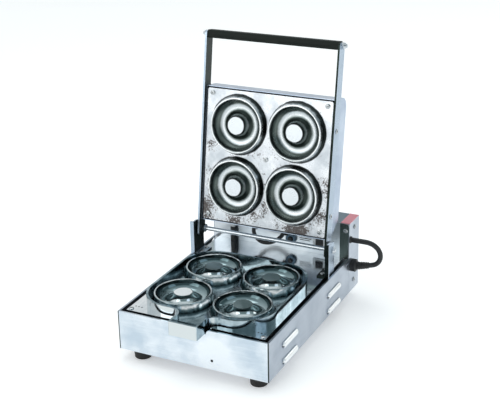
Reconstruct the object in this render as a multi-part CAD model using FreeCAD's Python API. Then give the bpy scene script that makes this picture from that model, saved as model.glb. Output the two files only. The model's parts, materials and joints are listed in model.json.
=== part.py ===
import FreeCAD, Part
import math
import os

from FreeCAD import Vector as V

# Four-hole donut maker: a sheet-steel base with a cast lower plate, a hinged lid with
# a cast upper plate, and a control box across the back.
#
# Everything is drawn in millimetres in a working frame: X is centred on the machine,
# Y runs back from the outside of the front panel and Z runs up from the panel's lower
# edge.  The lid is drawn shut and then turned open about the hinge.  Each finished
# piece is moved so that the origin is under the middle of the machine, on the floor.

# ---- overall sizes -------------------------------------------------------------------
overall_width = 240.0
base_depth = 301.0          # front panel to control box
base_height = 61.0          # panel edge to deck
box_depth = 43.0
box_height = 120.0          # panel edge to the top of the control box
foot_height = 18.0
sheet = 1.2                 # panels
deck_sheet = 1.5

# ---- cups and cast plates ------------------------------------------------------------
cup_pitch = 97.3            # between cup centres, both ways
front_row_y = 67.3
cup_rim_radius = 43.2
cup_base_radius = 47.0
cavity_radius = 40.0
post_radius = 14.0
cavity_depth = 14.5
post_drop = 0.9             # post top below the rim
rim_round = 1.3

tray_margin = 54.0          # cup centre to the outside of the tray wall
tray_wall = 3.2
tray_rise = 15.6            # rim and wall above the deck
tray_floor_rise = 3.0       # recessed floor above the deck
tray_seat = 6.5             # width of the tray that lies on the deck
tray_underside = 7.0        # casting below the deck
spout_half_width = 22.8
spout_reach = 24.0          # in front of the front panel
spout_drop = 5.5            # spout bottom below the deck
spout_fillet = 15.0

plate_half_gap = 15.9       # overall half width less plate half width
plate_near = 19.5           # hinge axis to the plate's near edge
plate_far_margin = 15.0     # shut: front panel to the plate's far edge
plate_thickness = 9.0
upper_cup_rise = 12.0       # upper rims above the plate face
rims_gap = 0.6              # shut: between lower and upper rims

# ---- hinge and lid -------------------------------------------------------------------
hinge_setback = 58.0        # hinge axis to the control box
hinge_rise = 38.2           # hinge axis above the deck
open_angle = 98.7
rod_radius = 3.5
collar_radius = 6.4
collar_width = 3.0
collar_gap = 0.5            # arm to collar
running_fit = 0.06          # radial clearance of the arms on the rod
casing_gap = 2.0            # plate edge to the inside of the casing
casing_depth = 46.0         # plate face to the back of the casing
casing_corner = 17.0
casing_cut = 24.0           # sloping cut along the lower back edge
arm_thickness = 3.0
arm_width = 20.0
arm_offset = 6.0            # arm centre line in front of the hinge axis
handle_reach = 310.5        # hinge axis to the handle's centre
handle_height = 12.5
handle_depth = 16.0
bracket_gap = 1.9           # arm to bracket
bracket_sheet = 2.5
bracket_depth = 30.0
bracket_rise = 56.0
bracket_flange = 6.5
bracket_foot = 14.0
bracket_setback = 22.0      # web's front edge in front of the hinge axis

# ---- base details --------------------------------------------------------------------
groove = 8.3                # open gap between deck and panels
groove_front = 9.0
vent_y = 24.0
vent_radius = 1.3
notch_gap = 0.9             # panel to spout
notch_shoulder = 5.5        # rounded upper corners of the notch
drain_x = 32.0
drain_z = 14.3
drain_radius = 2.1
louvre_radius = 5.5
louvre_length = 52.0
louvre_bulge = 4.2
louvre_fronts = (44.0, 210.0)
louvre_heights = (8.5, 35.0)
foot_radius = 14.0
foot_inset_x = 25.5
foot_front_y = 22.0
foot_rear_y = 256.0
foot_recess_z = 6.0         # top of the screw recess below the panel edge
heater_radius = 4.0
heater_leg_gap = 48.0
heater_front_y = 40.0
heater_bend_y = 196.0
heater_tail = 12.0          # the heater's ends beyond its bends
clamp_sheet = 2.0
clamp_margin = 10.0         # heater's outer legs to the clamp's sides
clamp_overhang = 4.0
hem = 1.6
panel_gap = 0.3
liner_gap = 1.4
liner_floor_z = 18.0
liner_sheet = 1.0
bottom_wall = 12.0          # turned-up edges of the bottom plate
deck_skirt = 12.0
rail_half_width = 5.5
rail_sheet = 1.5
rail_rise = 9.0

# ---- screws, nuts and holes ----------------------------------------------------------
screw_hole = 2.1
foot_screw_hole = 2.6
nut_across = 10.0
rod_stand_out = 3.0         # rod and stud ends outside their bracket or arm
plate_screw_inset = 8.5
far_screw_inset = 7.5
stud_radius = 3.0
side_screw_y = 0.54         # share of the box depth
small_screw_hole = 1.5

# ---- control box details -------------------------------------------------------------
cap_width = 14.0
cap_sheet = 1.6
strip_inset = 0.2           # strip behind the box front
strip_setback = 1.0
strip_thickness = 0.9
switch_x = 70.0
switch_z = 80.0
reset_x = 21.0
reset_z = 80.0
knob_x = 48.0
knob_z = 78.0
knob_radius = 16.0
knob_reach = 16.0
lamp_z = 38.0
lamp_hole = 5.0
gland_z = 45.5
gland_setback = 13.5        # behind the box front
gland_length = 9.0
gland_radius = 10.0
gland_hole = 7.0
switch_case_half = 8.0
switch_opening_half = 7.2
switch_wall = 1.4
rocker_tilt = 7.0           # either way from level
rocker_setback = 2.6        # rocker's axis behind the box front
reset_collar = 8.8
reset_bore = 4.4
shaft_radius = 3.0
shaft_fit = 0.1
bush_radius = 4.9
thermostat_radius = 15.0
thermostat_depth = 22.0
guard_x = (-85.5, -76.5)    # upright wire guard in front of the box
guard_depth = 8.5
guard_height = 24.0
guard_cap_height = 12.0

# ---- leads ---------------------------------------------------------------------------
lead_radius = 4.0
inner_lead_radius = 3.2
relief_radii = (6.6, 5.2)   # at the gland and at the lead
# The lead's bends as distances out from the side panel, behind the box front and above
# the gland; it leaves the relief, turns up and over and comes back to the panel.
lead_bends = [
    (28.0, 16.0, 3.1),
    (36.55, 17.125, 4.495),
    (43.3, 17.9, 10.1),
    (46.6, 17.9, 18.7),
    (45.6, 16.6, 28.7),
    (40.0, 14.4, 37.9),
    (30.0, 10.6, 44.7),
    (14.4, 6.2, 46.5),
    (0.0, 6.2, 46.5),
]
# The inner lead's bends: across, in front of the control box and above the deck.
inner_lead_bends = [
    (-42.0, 0.0, 30.0),
    (-42.0, 8.6, 30.0),
    (-38.8, 16.4, 25.6),
    (-31.2, 21.8, 18.4),
    (-20.4, 24.2, 14.0),
    (-8.4, 23.2, 14.4),
    (2.2, 20.2, 18.6),
    (9.0, 15.2, 24.6),
    (10.0, 8.2, 28.0),
    (10.0, 0.0, 28.0),
]

# ---- worked-out places ---------------------------------------------------------------
half_width = overall_width / 2
deck_z = base_height
rim_z = deck_z + tray_rise
floor_z = deck_z + tray_floor_rise
rear_row_y = front_row_y + cup_pitch
cup_places = [
    (side * cup_pitch / 2, row)
    for row in (front_row_y, rear_row_y)
    for side in (-1, 1)
]
hinge_y = base_depth - hinge_setback
hinge_z = deck_z + hinge_rise
box_back = base_depth + box_depth
deck_half = half_width - sheet - groove
plate_half = half_width - plate_half_gap
casing_inner = plate_half + casing_gap
casing_half = casing_inner + sheet
arm_outer = casing_half + arm_thickness
bracket_inner = arm_outer + bracket_gap
bracket_outer = bracket_inner + bracket_sheet
upper_rim_z = rim_z + rims_gap
plate_face_z = upper_rim_z + upper_cup_rise
plate_back_z = plate_face_z + plate_thickness
casing_back_z = plate_face_z + casing_depth
plate_near_y = hinge_y - plate_near
casing_near_y = plate_near_y + casing_gap + sheet
casing_far_y = plate_far_margin - casing_gap - sheet
arm_z = hinge_z - arm_offset
handle_y = hinge_y - handle_reach
lead_y = base_depth + gland_setback
bracket_front_y = hinge_y - bracket_setback
plate_screw_y = (plate_near_y - plate_screw_inset, plate_far_margin + far_screw_inset)
plate_screw_x = plate_half - plate_screw_inset
plate_centre_y = (front_row_y + rear_row_y) / 2
spread = heater_leg_gap * 1.5 + clamp_margin      # half width of the clamps
front_y = spout_reach - (spout_reach + box_back + knob_reach) / 2
to_floor = V(0, front_y, foot_height)
hinge_point = V(0, hinge_y, hinge_z)

os.makedirs("parts", exist_ok=True)


# ---- helpers -------------------------------------------------------------------------
def box(x0, x1, y0, y1, z0, z1):
    return Part.makeBox(x1 - x0, y1 - y0, z1 - z0, V(x0, y0, z0))


def bar(start, end, radius):
    start, end = V(*start), V(*end)
    return Part.makeCylinder(radius, (end - start).Length, start, end - start)


def cone(start, end, radius0, radius1):
    start, end = V(*start), V(*end)
    return Part.makeCone(radius0, radius1, (end - start).Length, start, end - start)


def yz_prism(points, x0, x1):
    wire = Part.makePolygon([V(x0, y, z) for y, z in points + points[:1]])
    return Part.Face(wire).extrude(V(x1 - x0, 0, 0))


def union(shapes):
    first, rest = shapes[0], list(shapes[1:])
    return first.fuse(rest).removeSplitter() if rest else first


def round_edges(shape, radius, chosen):
    """Round the edges of a shape whose middle point passes a test."""
    edges = [e for e in shape.Edges if chosen(e.valueAt((e.FirstParameter + e.LastParameter) / 2))]
    return shape.makeFillet(radius, edges)


def rounded_block(x0, x1, y0, y1, z0, z1, radius, axis):
    """A block with its four edges along one axis rounded."""
    block = box(x0, x1, y0, y1, z0, z1)
    along = {"x": V(1, 0, 0), "y": V(0, 1, 0), "z": V(0, 0, 1)}[axis]
    edges = [e for e in block.Edges if abs(e.tangentAt(e.FirstParameter).dot(along)) > 0.99]
    return block.makeFillet(radius, edges)


def revolved(wire_edges, centre):
    """Turn a profile drawn in the XZ plane about the vertical line through centre."""
    shape = Part.Face(Part.Wire(wire_edges)).revolve(V(0, 0, 0), V(0, 0, 1), 360)
    shape.translate(V(*centre))
    return shape


def line(a, b):
    return Part.makeLine(V(a[0], 0, a[1]), V(b[0], 0, b[1]))


def arc(a, b, c):
    return Part.Arc(V(a[0], 0, a[1]), V(b[0], 0, b[1]), V(c[0], 0, c[1])).toShape()


def turned_over(shape, z):
    """Turn a shape upside down about the level z."""
    copy = shape.copy()
    copy.rotate(V(0, 0, z), V(0, 1, 0), 180)
    return copy


def bent_tube(points, radius, share=0.45):
    """A tube of straight runs and tangent arcs; gives the solid, its length and its arc radii."""
    points = [V(*p) for p in points]
    edges, radii, at = [], [], points[0]
    for before, here, after in zip(points, points[1:], points[2:]):
        into, out = here - before, after - here
        half_turn = into.getAngle(out) / 2
        reach = share * min(into.Length, out.Length)
        into.normalize()
        out.normalize()
        start, end = here - into * reach, here + out * reach
        bend = reach / math.tan(half_turn)
        inward = (out - into).normalize()
        middle = here + inward * (bend / math.cos(half_turn) - bend)
        edges.append(Part.makeLine(at, start))
        edges.append(Part.Arc(start, middle, end).toShape())
        radii.append(bend)
        at = end
    edges.append(Part.makeLine(at, points[-1]))
    path = Part.Wire(edges)
    section = Part.Wire(Part.makeCircle(radius, points[0], points[1] - points[0]))
    return path.makePipeShell([section], True, True), path.Length, radii


def screw(head, into, head_radius=4.0, head_height=2.2, shank_radius=2.0, length=8.0):
    """A pan-head screw: the underside of its head is at `head`, its shank runs along `into`."""
    head, into = V(*head), V(*into).normalize()
    cap = Part.makeCylinder(head_radius, head_height, head, into * -1)
    top = head - into * head_height
    cap = cap.makeFillet(head_height * 0.45, [e for e in cap.Edges if e.isClosed()
                                              and (e.CenterOfMass - top).Length < 0.01])
    slot_depth = head_height * 0.4
    across = into.cross(V(0.3, 0.5, 0.8)).normalize()
    slot = Part.makeBox(head_radius * 3, 0.9, slot_depth * 2)
    slot.translate(V(-head_radius * 1.5, -0.45, -slot_depth))
    facing = FreeCAD.Rotation(across, V(0, 0, 0), into, "ZXY")
    slot.Placement = FreeCAD.Placement(top, facing).multiply(slot.Placement)
    return cap.fuse(Part.makeCylinder(shank_radius, length, head, into)).cut(slot)


def acorn_nut(face, outward, across=11.0, height=5.0, dome=3.4):
    """A domed nut whose flat is at `face`."""
    face, outward = V(*face), V(*outward).normalize()
    ring = [V(across / math.sqrt(3) * math.cos(math.radians(a)), across / math.sqrt(3)
            * math.sin(math.radians(a)), 0) for a in range(0, 361, 60)]
    hexagon = Part.Face(Part.makePolygon(ring)).extrude(V(0, 0, height * 0.55))
    cap = Part.makeCone(across * 0.47, across * 0.25, dome + height * 0.45, V(0, 0, height * 0.55))
    nut = hexagon.fuse(cap).removeSplitter()
    nut.Placement = FreeCAD.Placement(face, FreeCAD.Rotation(V(0, 0, 1), outward))
    return nut


made = []


def save(name, shape):
    """Move a finished piece from the working frame to the floor frame and write it."""
    piece = shape.copy()
    piece.translate(to_floor)
    piece.exportStep(f"parts/{name}.step")
    made.append(name)
    bounds = piece.BoundBox
    state = "" if piece.isValid() else "  NOT VALID"
    print(f"{name:22s} solids {len(piece.Solids):2d}  volume {piece.Volume:10.1f}"
          f"  z {bounds.ZMin:7.1f} to {bounds.ZMax:7.1f}{state}")


def save_lid(name, shape):
    """Turn a lid piece from shut to open and write it."""
    piece = shape.copy()
    piece.rotate(hinge_point, V(1, 0, 0), -open_angle)
    save(name, piece)


# ---- cups ----------------------------------------------------------------------------
def cup_boss(x, y, rim, rise):
    """The raised outside of one cup, from just inside its plate up to a rounded rim."""
    low = -rise - 1.0
    turn = rim_round * (1 - math.sqrt(0.5))
    edges = [
        line((0, low), (cup_base_radius, low)),
        line((cup_base_radius, low), (cup_base_radius, -rise)),
        line((cup_base_radius, -rise), (cup_rim_radius, -rim_round)),
        arc((cup_rim_radius, -rim_round), (cup_rim_radius - turn, -turn), (cup_rim_radius - rim_round, 0)),
        line((cup_rim_radius - rim_round, 0), (0, 0)),
        line((0, 0), (0, low)),
    ]
    return revolved(edges, (x, y, rim))


def cup_cavity(x, y, rim):
    """The ring-shaped hollow of one cup round its centre post."""
    middle = (cavity_radius + post_radius) / 2
    edges = [
        line((0, 1), (0, -post_drop)),
        line((0, -post_drop), (post_radius, -post_drop)),
        arc((post_radius, -post_drop), (middle, -cavity_depth), (cavity_radius, -0.8)),
        line((cavity_radius, -0.8), (cavity_radius + 0.9, 0)),
        line((cavity_radius + 0.9, 0), (cavity_radius + 0.9, 1)),
        line((cavity_radius + 0.9, 1), (0, 1)),
    ]
    return revolved(edges, (x, y, rim))


# ---- lower plate ---------------------------------------------------------------------
def tray_outline(inset, z0, z1):
    """A block with the tray's outline, drawn in by an inset; its corners are round the cups."""
    half = cup_pitch / 2 + tray_margin - inset
    return rounded_block(-half, half, front_row_y - tray_margin + inset,
                         rear_row_y + tray_margin - inset, z0, z1, tray_margin - inset, "z")


def spout_shape(inset, z0, z1, front_extra=0.0):
    """The pouring spout's outline with the hollow curves that join it to the tray."""
    tray_front = front_row_y - tray_margin
    half = spout_half_width - inset
    radius = spout_fillet + inset
    block = box(-half, half, -spout_reach + inset + front_extra, tray_front + spout_fillet, z0, z1)
    pieces = [block]
    for side in (-1, 1):
        near, far = sorted((side * half, side * (half + radius)))
        corner = box(near, far, tray_front + inset - radius, tray_front + inset + 1.0, z0, z1)
        hollow = bar((side * (half + radius), tray_front + inset - radius, z0 - 1),
                     (side * (half + radius), tray_front + inset - radius, z1 + 1), radius)
        pieces.append(corner.cut(hollow))
    return union(pieces)


def lower_plate():
    body = union([tray_outline(0, deck_z, rim_z), spout_shape(0, deck_z, rim_z)])
    hollow = tray_outline(tray_wall, floor_z, rim_z + 1)
    body = body.cut([hollow, spout_shape(tray_wall, floor_z, rim_z + 1)])
    keel = tray_outline(tray_seat, deck_z - tray_underside, deck_z + 1.0)
    nose = box(-spout_half_width, spout_half_width, -spout_reach,
               front_row_y - tray_margin + tray_seat + 20, deck_z - spout_drop, deck_z + 1.0)
    ramp_half = spout_half_width - tray_wall
    ramp_start = front_row_y - tray_margin - 6.0
    ramp_end = -spout_reach + tray_wall
    ramp = yz_prism([(ramp_start, floor_z - 0.5), (ramp_end - 0.5, rim_z - 2.0),
                     (ramp_end - 0.5, floor_z - 0.5)], -ramp_half, ramp_half)
    bosses = [cup_boss(x, y, rim_z, tray_rise - tray_floor_rise) for x, y in cup_places]
    body = union([body, keel, nose, ramp] + bosses)
    body = body.cut([cup_cavity(x, y, rim_z) for x, y in cup_places])
    lip = deck_z - spout_drop
    return round_edges(body, 2.4, lambda p: abs(p.y + spout_reach) < 0.01
                       and abs(abs(p.x) - spout_half_width) < 0.01 and p.z > lip)


def heater(z):
    """A tubular heating element in four legs, its two ends at the back."""
    x0, x1 = heater_leg_gap / 2, heater_leg_gap * 1.5
    turn = heater_leg_gap / 2
    near, far = heater_front_y + turn, heater_bend_y - turn
    end = heater_bend_y + heater_tail
    path = []
    for a, b in (((-x1, end), (-x1, near)), ((-x0, near), (-x0, far)), ((x0, far), (x0, near)),
                 ((x1, near), (x1, end))):
        path.append(Part.makeLine(V(a[0], a[1], z), V(b[0], b[1], z)))
    bends = [(-heater_leg_gap, near, -1), (0, far, 1), (heater_leg_gap, near, -1)]
    for index, (x, y, way) in enumerate(bends):
        start = V(x - turn, y, z)
        bend = Part.Arc(start, V(x, y + way * turn, z), V(x + turn, y, z)).toShape()
        path.insert(1 + 2 * index, bend)
    section = Part.Wire(Part.makeCircle(heater_radius, V(-x1, end, z), V(0, -1, 0)))
    return Part.Wire(path).makePipeShell([section], True, True)


def clamp_plate(z):
    """The plate that presses a heater against its casting."""
    return box(-spread, spread, heater_front_y - clamp_overhang, heater_bend_y + clamp_overhang,
               z, z + clamp_sheet)


def insulation_pad(z0, z1):
    half = spread - clamp_overhang
    return box(-half, half, heater_front_y, heater_bend_y, z0, z1)


def base_heating():
    under = deck_z - tray_underside
    save("lower_heater", heater(under - heater_radius))
    clamp_top = under - 2 * heater_radius
    clamp_low = clamp_top - clamp_sheet
    save("lower_clamp", clamp_plate(clamp_low))
    save("lower_insulation", insulation_pad(liner_floor_z + liner_sheet, clamp_low))


# ---- base shell ----------------------------------------------------------------------
def front_panel():
    half = half_width - sheet - panel_gap
    panel = box(-half, half, 0, sheet, 0, base_height)
    folded = box(-half, half, sheet, sheet + hem, base_height - sheet, base_height)
    notch_half = spout_half_width + notch_gap
    cuts = [box(-notch_half, notch_half, -1, sheet + hem + 1, deck_z - spout_drop - notch_gap,
                base_height + 1)]
    for side in (-1, 1):
        near, far = sorted((side * notch_half, side * (notch_half + notch_shoulder)))
        corner = box(near, far, -1, sheet + hem + 1, base_height - notch_shoulder, base_height + 1)
        middle = side * (notch_half + notch_shoulder)
        cuts.append(corner.cut(bar((middle, -2, base_height - notch_shoulder),
                                   (middle, sheet + hem + 2, base_height - notch_shoulder),
                                   notch_shoulder)))
    panel = union([panel, folded]).cut(cuts)
    drain = bar((drain_x, -1, drain_z), (drain_x, 3, drain_z), drain_radius)
    return panel.cut(drain)


def louvre_capsule(radius, side, y, z):
    """The rounded bulge of one louvre, its centre line sunk behind the panel face."""
    x = side * (half_width - louvre_radius + louvre_bulge)
    start, end = y + louvre_radius, y + louvre_length - louvre_radius
    tube = bar((x, start, z), (x, end, z), radius)
    ends = [Part.makeSphere(radius, V(x, y_end, z)) for y_end in (start, end)]
    return union([tube] + ends)


def side_panel(side):
    inner, outer = sorted((side * (half_width - sheet), side * half_width))
    panel = box(inner, outer, 0, base_depth - 0.4, 0, base_height)
    hem_in, hem_out = sorted((side * (half_width - sheet - hem), side * (half_width - sheet)))
    folded = box(hem_in, hem_out, sheet + hem + 0.8, base_depth - 0.4, base_height - sheet,
                 base_height)
    panel = union([panel, folded])
    far = side * (half_width + 20)
    for y in louvre_fronts:
        for z in louvre_heights:
            inside = louvre_capsule(louvre_radius - sheet, side, y, z)
            bulge = louvre_capsule(louvre_radius, side, y, z).cut(inside)
            keep_in, keep_out = sorted((side * (half_width - panel_gap), far))
            low, high = z - 2 * louvre_radius, z + 2 * louvre_radius
            bulge = bulge.common(box(keep_in, keep_out, y - 1, y + louvre_length + 1, low, high))
            panel = union([panel.cut(inside), bulge])
            slot_in, slot_out = sorted((side * (half_width + 0.01), far))
            slot = box(slot_in, slot_out, y + louvre_radius, y + louvre_length - louvre_radius,
                       low, z - louvre_radius * 0.5)
            mouth = box(slot_in, slot_out, y - 1, y + louvre_radius * 0.55, low,
                        z + louvre_radius * 0.1)
            panel = panel.cut([slot, mouth])
    window = [(base_depth - 13, base_height - 7.6), (base_depth - 1.6, base_height - 7.6),
              (base_depth - 1.6, base_height - 1.8)]
    return panel.cut(yz_prism(window, min(inner, outer) - 1, max(inner, outer) + 1))


def bottom_plate():
    half = half_width - sheet
    plate = box(-half, half, sheet, base_depth, 0, sheet)
    walls = [
        box(-half, half, sheet, 2 * sheet, 0, bottom_wall),
        box(-half, -half + sheet, sheet, base_depth, 0, bottom_wall),
        box(half - sheet, half, sheet, base_depth, 0, bottom_wall),
    ]
    plate = union([plate] + walls)
    slots = [rounded_block(x - 22, x + 22, y, y + 5, -1, sheet + 1, 2.4, "z")
             for x in (-50.0, 0.0, 50.0) for y in range(60, 240, 18)]
    holes = [bar((x, y, -1), (x, y, sheet + 1), foot_screw_hole) for x, y in foot_places()]
    return plate.cut(slots + holes)


def foot_places():
    x = half_width - foot_inset_x
    return [(-x, foot_front_y), (x, foot_front_y), (-x, foot_rear_y), (x, foot_rear_y)]


def foot(x, y):
    """A round rubber foot with a recess for its screw."""
    body = cone((x, y, -foot_height), (x, y, 0), foot_radius - 1.6, foot_radius)
    body = body.makeFillet(1.2, [e for e in body.Edges if e.isClosed()
                                 and e.CenterOfMass.z < -foot_height + 0.01])
    recess = bar((x, y, -foot_height - 1), (x, y, -foot_recess_z), 6.0)
    return body.cut([recess, bar((x, y, -foot_height), (x, y, 1), foot_screw_hole)])


def deck():
    """The polished top of the base, open under the lower plate, with turned-down edges."""
    top = box(-deck_half, deck_half, groove_front, base_depth - 0.2, deck_z - deck_sheet, deck_z)
    flange_low = deck_z - deck_skirt
    skirts = [
        box(-deck_half, -deck_half + deck_sheet, groove_front, base_depth - 0.2, flange_low, deck_z),
        box(deck_half - deck_sheet, deck_half, groove_front, base_depth - 0.2, flange_low, deck_z),
        box(-deck_half, deck_half, groove_front, groove_front + deck_sheet, flange_low, deck_z),
    ]
    shell = union([top] + skirts)
    opening = tray_outline(tray_seat - 0.4, deck_z - 5, deck_z + 5)
    spout_slot = box(-spout_half_width - notch_gap, spout_half_width + notch_gap, groove_front - 5,
                     front_row_y - tray_margin + 24, flange_low - 1, deck_z + 1)
    vent_x = [side * (deck_half - 7 - 5 * step) for side in (-1, 1) for step in range(3)]
    vents = [bar((x, vent_y, deck_z - 5), (x, vent_y, deck_z + 5), vent_radius) for x in vent_x]
    holes = [bar((x, y, deck_z - 5), (x, y, deck_z + 5), screw_hole)
             for x, y in bracket_screw_places() + corner_screw_places()]
    return shell.cut([opening, spout_slot] + vents + holes)


def inner_liner():
    """A plain tray under the deck that closes the gap round it and holds the insulation."""
    half = deck_half - deck_sheet - liner_gap
    y0, y1 = groove_front + deck_sheet + liner_gap, base_depth - 2 * liner_gap
    outer = box(-half, half, y0, y1, liner_floor_z, deck_z - deck_sheet - 0.6)
    inner = box(-half + liner_sheet, half - liner_sheet, y0 + liner_sheet, y1 - liner_sheet,
                liner_floor_z + liner_sheet, deck_z + 5)
    slot = box(-spout_half_width - notch_gap, spout_half_width + notch_gap, y0 - 5, y0 + 5,
               deck_z - 14, deck_z + 5)
    return outer.cut([inner, slot])


def bracket_screw_places():
    x = bracket_inner - bracket_foot * 0.55
    return [(side * x, bracket_front_y + dy) for side in (-1, 1) for dy in (8.0, bracket_depth - 5.0)]


def corner_screw_places():
    return [(side * (deck_half - 5.0), groove_front + 5.5) for side in (-1, 1)]


def hinge_bracket(side):
    """An upright angle: web beside the arm, flange turned out at the front, foot turned in."""
    y0, y1 = bracket_front_y, bracket_front_y + bracket_depth
    top = deck_z + bracket_rise
    profile = [(y0, deck_z), (y1, deck_z), (y1, top - 7.0), (y0 + 9.0, top), (y0, top)]
    web_x0, web_x1 = sorted((side * bracket_inner, side * bracket_outer))
    web = yz_prism(profile, web_x0, web_x1)
    fl_x0, fl_x1 = sorted((side * bracket_inner, side * (bracket_outer + bracket_flange - bracket_sheet)))
    flange = box(fl_x0, fl_x1, y0 - bracket_sheet, y0, deck_z, top)
    ft_x0, ft_x1 = sorted((side * (bracket_inner - bracket_foot), side * bracket_outer))
    foot_plate = box(ft_x0, ft_x1, y0, y1, deck_z, deck_z + bracket_sheet)
    holes = [bar((x, y, deck_z - 1), (x, y, deck_z + 5), screw_hole)
             for x, y in bracket_screw_places() if x * side > 0]
    bore = bar((side * (bracket_inner - 5), hinge_y, hinge_z),
               (side * (bracket_outer + 5), hinge_y, hinge_z), rod_radius)
    return union([web, flange, foot_plate]).cut(holes + [bore])


def hinge_pieces():
    end = bracket_outer + rod_stand_out
    rod = bar((-end, hinge_y, hinge_z), (end, hinge_y, hinge_z), rod_radius)
    save("hinge_rod", rod)
    collars, nuts = [], []
    for side in (-1, 1):
        face = side * (casing_half - collar_gap)
        ring = bar((face, hinge_y, hinge_z), (face - side * collar_width, hinge_y, hinge_z), collar_radius)
        collars.append(ring.cut(rod))
        nut = acorn_nut((side * bracket_outer, hinge_y, hinge_z), (side, 0, 0), nut_across, 4.4, 1.2)
        nuts.append(nut.cut(rod))
    save("hinge_collars", Part.makeCompound(collars))
    save("hinge_nuts", Part.makeCompound(nuts))


def base():
    save("front_panel", front_panel())
    save("side_panel_left", side_panel(-1))
    save("side_panel_right", side_panel(1))
    save("bottom_plate", bottom_plate())
    save("deck", deck())
    save("inner_liner", inner_liner())
    save("lower_plate", lower_plate())
    base_heating()
    names = ("foot_front_left", "foot_front_right", "foot_rear_left", "foot_rear_right")
    for name, (x, y) in zip(names, foot_places()):
        save(name, foot(x, y))
    save("foot_screws", Part.makeCompound([
        screw((x, y, -foot_recess_z), (0, 0, 1), 4.6, 2.4, foot_screw_hole, foot_recess_z + sheet + 3.0)
        for x, y in foot_places()]))
    save("hinge_bracket_left", hinge_bracket(-1))
    save("hinge_bracket_right", hinge_bracket(1))
    heads = [screw((x, y, deck_z + bracket_sheet), (0, 0, -1), 3.6, 2.0, screw_hole, 7.0)
             for x, y in bracket_screw_places()]
    heads += [screw((x, y, deck_z), (0, 0, -1), 3.6, 2.0, screw_hole, deck_sheet + 0.4)
              for x, y in corner_screw_places()]
    save("deck_screws", Part.makeCompound(heads))
    hinge_pieces()


# ---- lid -----------------------------------------------------------------------------
def plate_screw_places():
    corners = [(side * plate_screw_x, y) for side in (-1, 1) for y in plate_screw_y]
    return corners + [(0.0, plate_centre_y)]


def upper_plate():
    block = rounded_block(-plate_half, plate_half, plate_far_margin, plate_near_y, plate_face_z,
                          plate_back_z, 3.0, "z")
    bosses = [turned_over(cup_boss(-x, y, upper_rim_z, upper_cup_rise), upper_rim_z)
              for x, y in cup_places]
    hollows = [turned_over(cup_cavity(-x, y, upper_rim_z), upper_rim_z) for x, y in cup_places]
    holes = [bar((x, y, plate_face_z - 2), (x, y, plate_back_z + 2), screw_hole)
             for x, y in plate_screw_places()]
    return union([block] + bosses).cut(hollows + holes)


def casing_profile(inset):
    """The side outline of the casing: open below, cut off along its lower back edge."""
    near, far = casing_near_y - inset, casing_far_y + inset
    back = casing_back_z - inset
    low = plate_face_z + 1.0
    cut = casing_cut - inset * 0.4
    round_r = casing_corner - inset
    points = [V(0, near, low), V(0, near, back - cut * 1.08), V(0, near - cut, back),
              V(0, far + round_r, back)]
    middle = V(0, far + round_r * (1 - math.sqrt(0.5)), back - round_r * (1 - math.sqrt(0.5)))
    last = V(0, far, back - round_r)
    edges = [Part.makeLine(a, b) for a, b in zip(points, points[1:])]
    edges.append(Part.Arc(points[-1], middle, last).toShape())
    edges.append(Part.makeLine(last, V(0, far, low)))
    edges.append(Part.makeLine(V(0, far, low), points[0]))
    return Part.Face(Part.Wire(edges))


def lid_casing():
    outer = casing_profile(0).extrude(V(2 * casing_half, 0, 0))
    outer.translate(V(-casing_half, 0, 0))
    inner = casing_profile(sheet).extrude(V(2 * casing_inner, 0, 0))
    inner.translate(V(-casing_inner, 0, 0))
    mouth = box(-casing_inner, casing_inner, casing_far_y + sheet, casing_near_y - sheet,
                plate_face_z - 5, plate_face_z + 6)
    holes = [bar((-casing_half - 5, y, z), (casing_half + 5, y, z), screw_hole)
             for y, z in arm_screw_places()]
    vents = [rounded_block(x - 2.5, x + 2.5, plate_centre_y - 26, plate_centre_y + 26,
                           casing_back_z - 4, casing_back_z + 4, 2.4, "z") for x in range(-60, 61, 15)]
    return outer.cut([inner, mouth] + holes + vents)


def arm_screw_places():
    return [(plate_near_y - 34.0, arm_z), (plate_far_margin + 44.0, arm_z)]


def lid_rails():
    """Two cross rails behind the plate that its corner screws go into."""
    rails = []
    for y, outward in zip(plate_screw_y, (1, -1)):
        rail = box(-casing_inner, casing_inner, y - rail_half_width, y + rail_half_width,
                   plate_back_z, plate_back_z + rail_sheet)
        near, far = sorted((y + outward * (rail_half_width - rail_sheet), y + outward * rail_half_width))
        turned = box(-casing_inner, casing_inner, near, far, plate_back_z, plate_back_z + rail_rise)
        holes = [bar((x, y, plate_back_z - 1), (x, y, plate_back_z + 3), screw_hole)
                 for x in (-plate_screw_x, plate_screw_x)]
        rails.append(union([rail, turned]).cut(holes))
    return Part.makeCompound(rails)


def lid_heating():
    clamp_low = plate_back_z + 2 * heater_radius
    pad_low = clamp_low + clamp_sheet
    middle = (0, plate_centre_y, plate_face_z)
    save_lid("upper_heater", heater(plate_back_z + heater_radius))
    hole = bar(middle, (0, plate_centre_y, casing_back_z), screw_hole)
    save_lid("upper_clamp", clamp_plate(clamp_low).cut(hole))
    pad = insulation_pad(pad_low, casing_back_z - sheet - 1.0)
    pocket = bar(middle, (0, plate_centre_y, pad_low + 7.0), screw_hole + 0.9)
    save_lid("upper_insulation", pad.cut(pocket))


def lid_arm(side):
    """A flat bar from the hinge rod past the casing to the handle."""
    x0, x1 = sorted((side * casing_half, side * arm_outer))
    near, far = hinge_y + 9.0, handle_y - 5.0
    blade = rounded_block(x0, x1, far, near, arm_z - arm_width / 2, arm_z + arm_width / 2, 4.0, "x")
    bore = bar((x0 - 1, hinge_y, hinge_z), (x1 + 1, hinge_y, hinge_z), rod_radius + running_fit)
    stud_hole = bar((x0 - 1, handle_y, arm_z), (x1 + 1, handle_y, arm_z), stud_radius)
    holes = [bar((x0 - 1, y, z), (x1 + 1, y, z), screw_hole) for y, z in arm_screw_places()]
    return blade.cut([bore, stud_hole] + holes)


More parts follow.
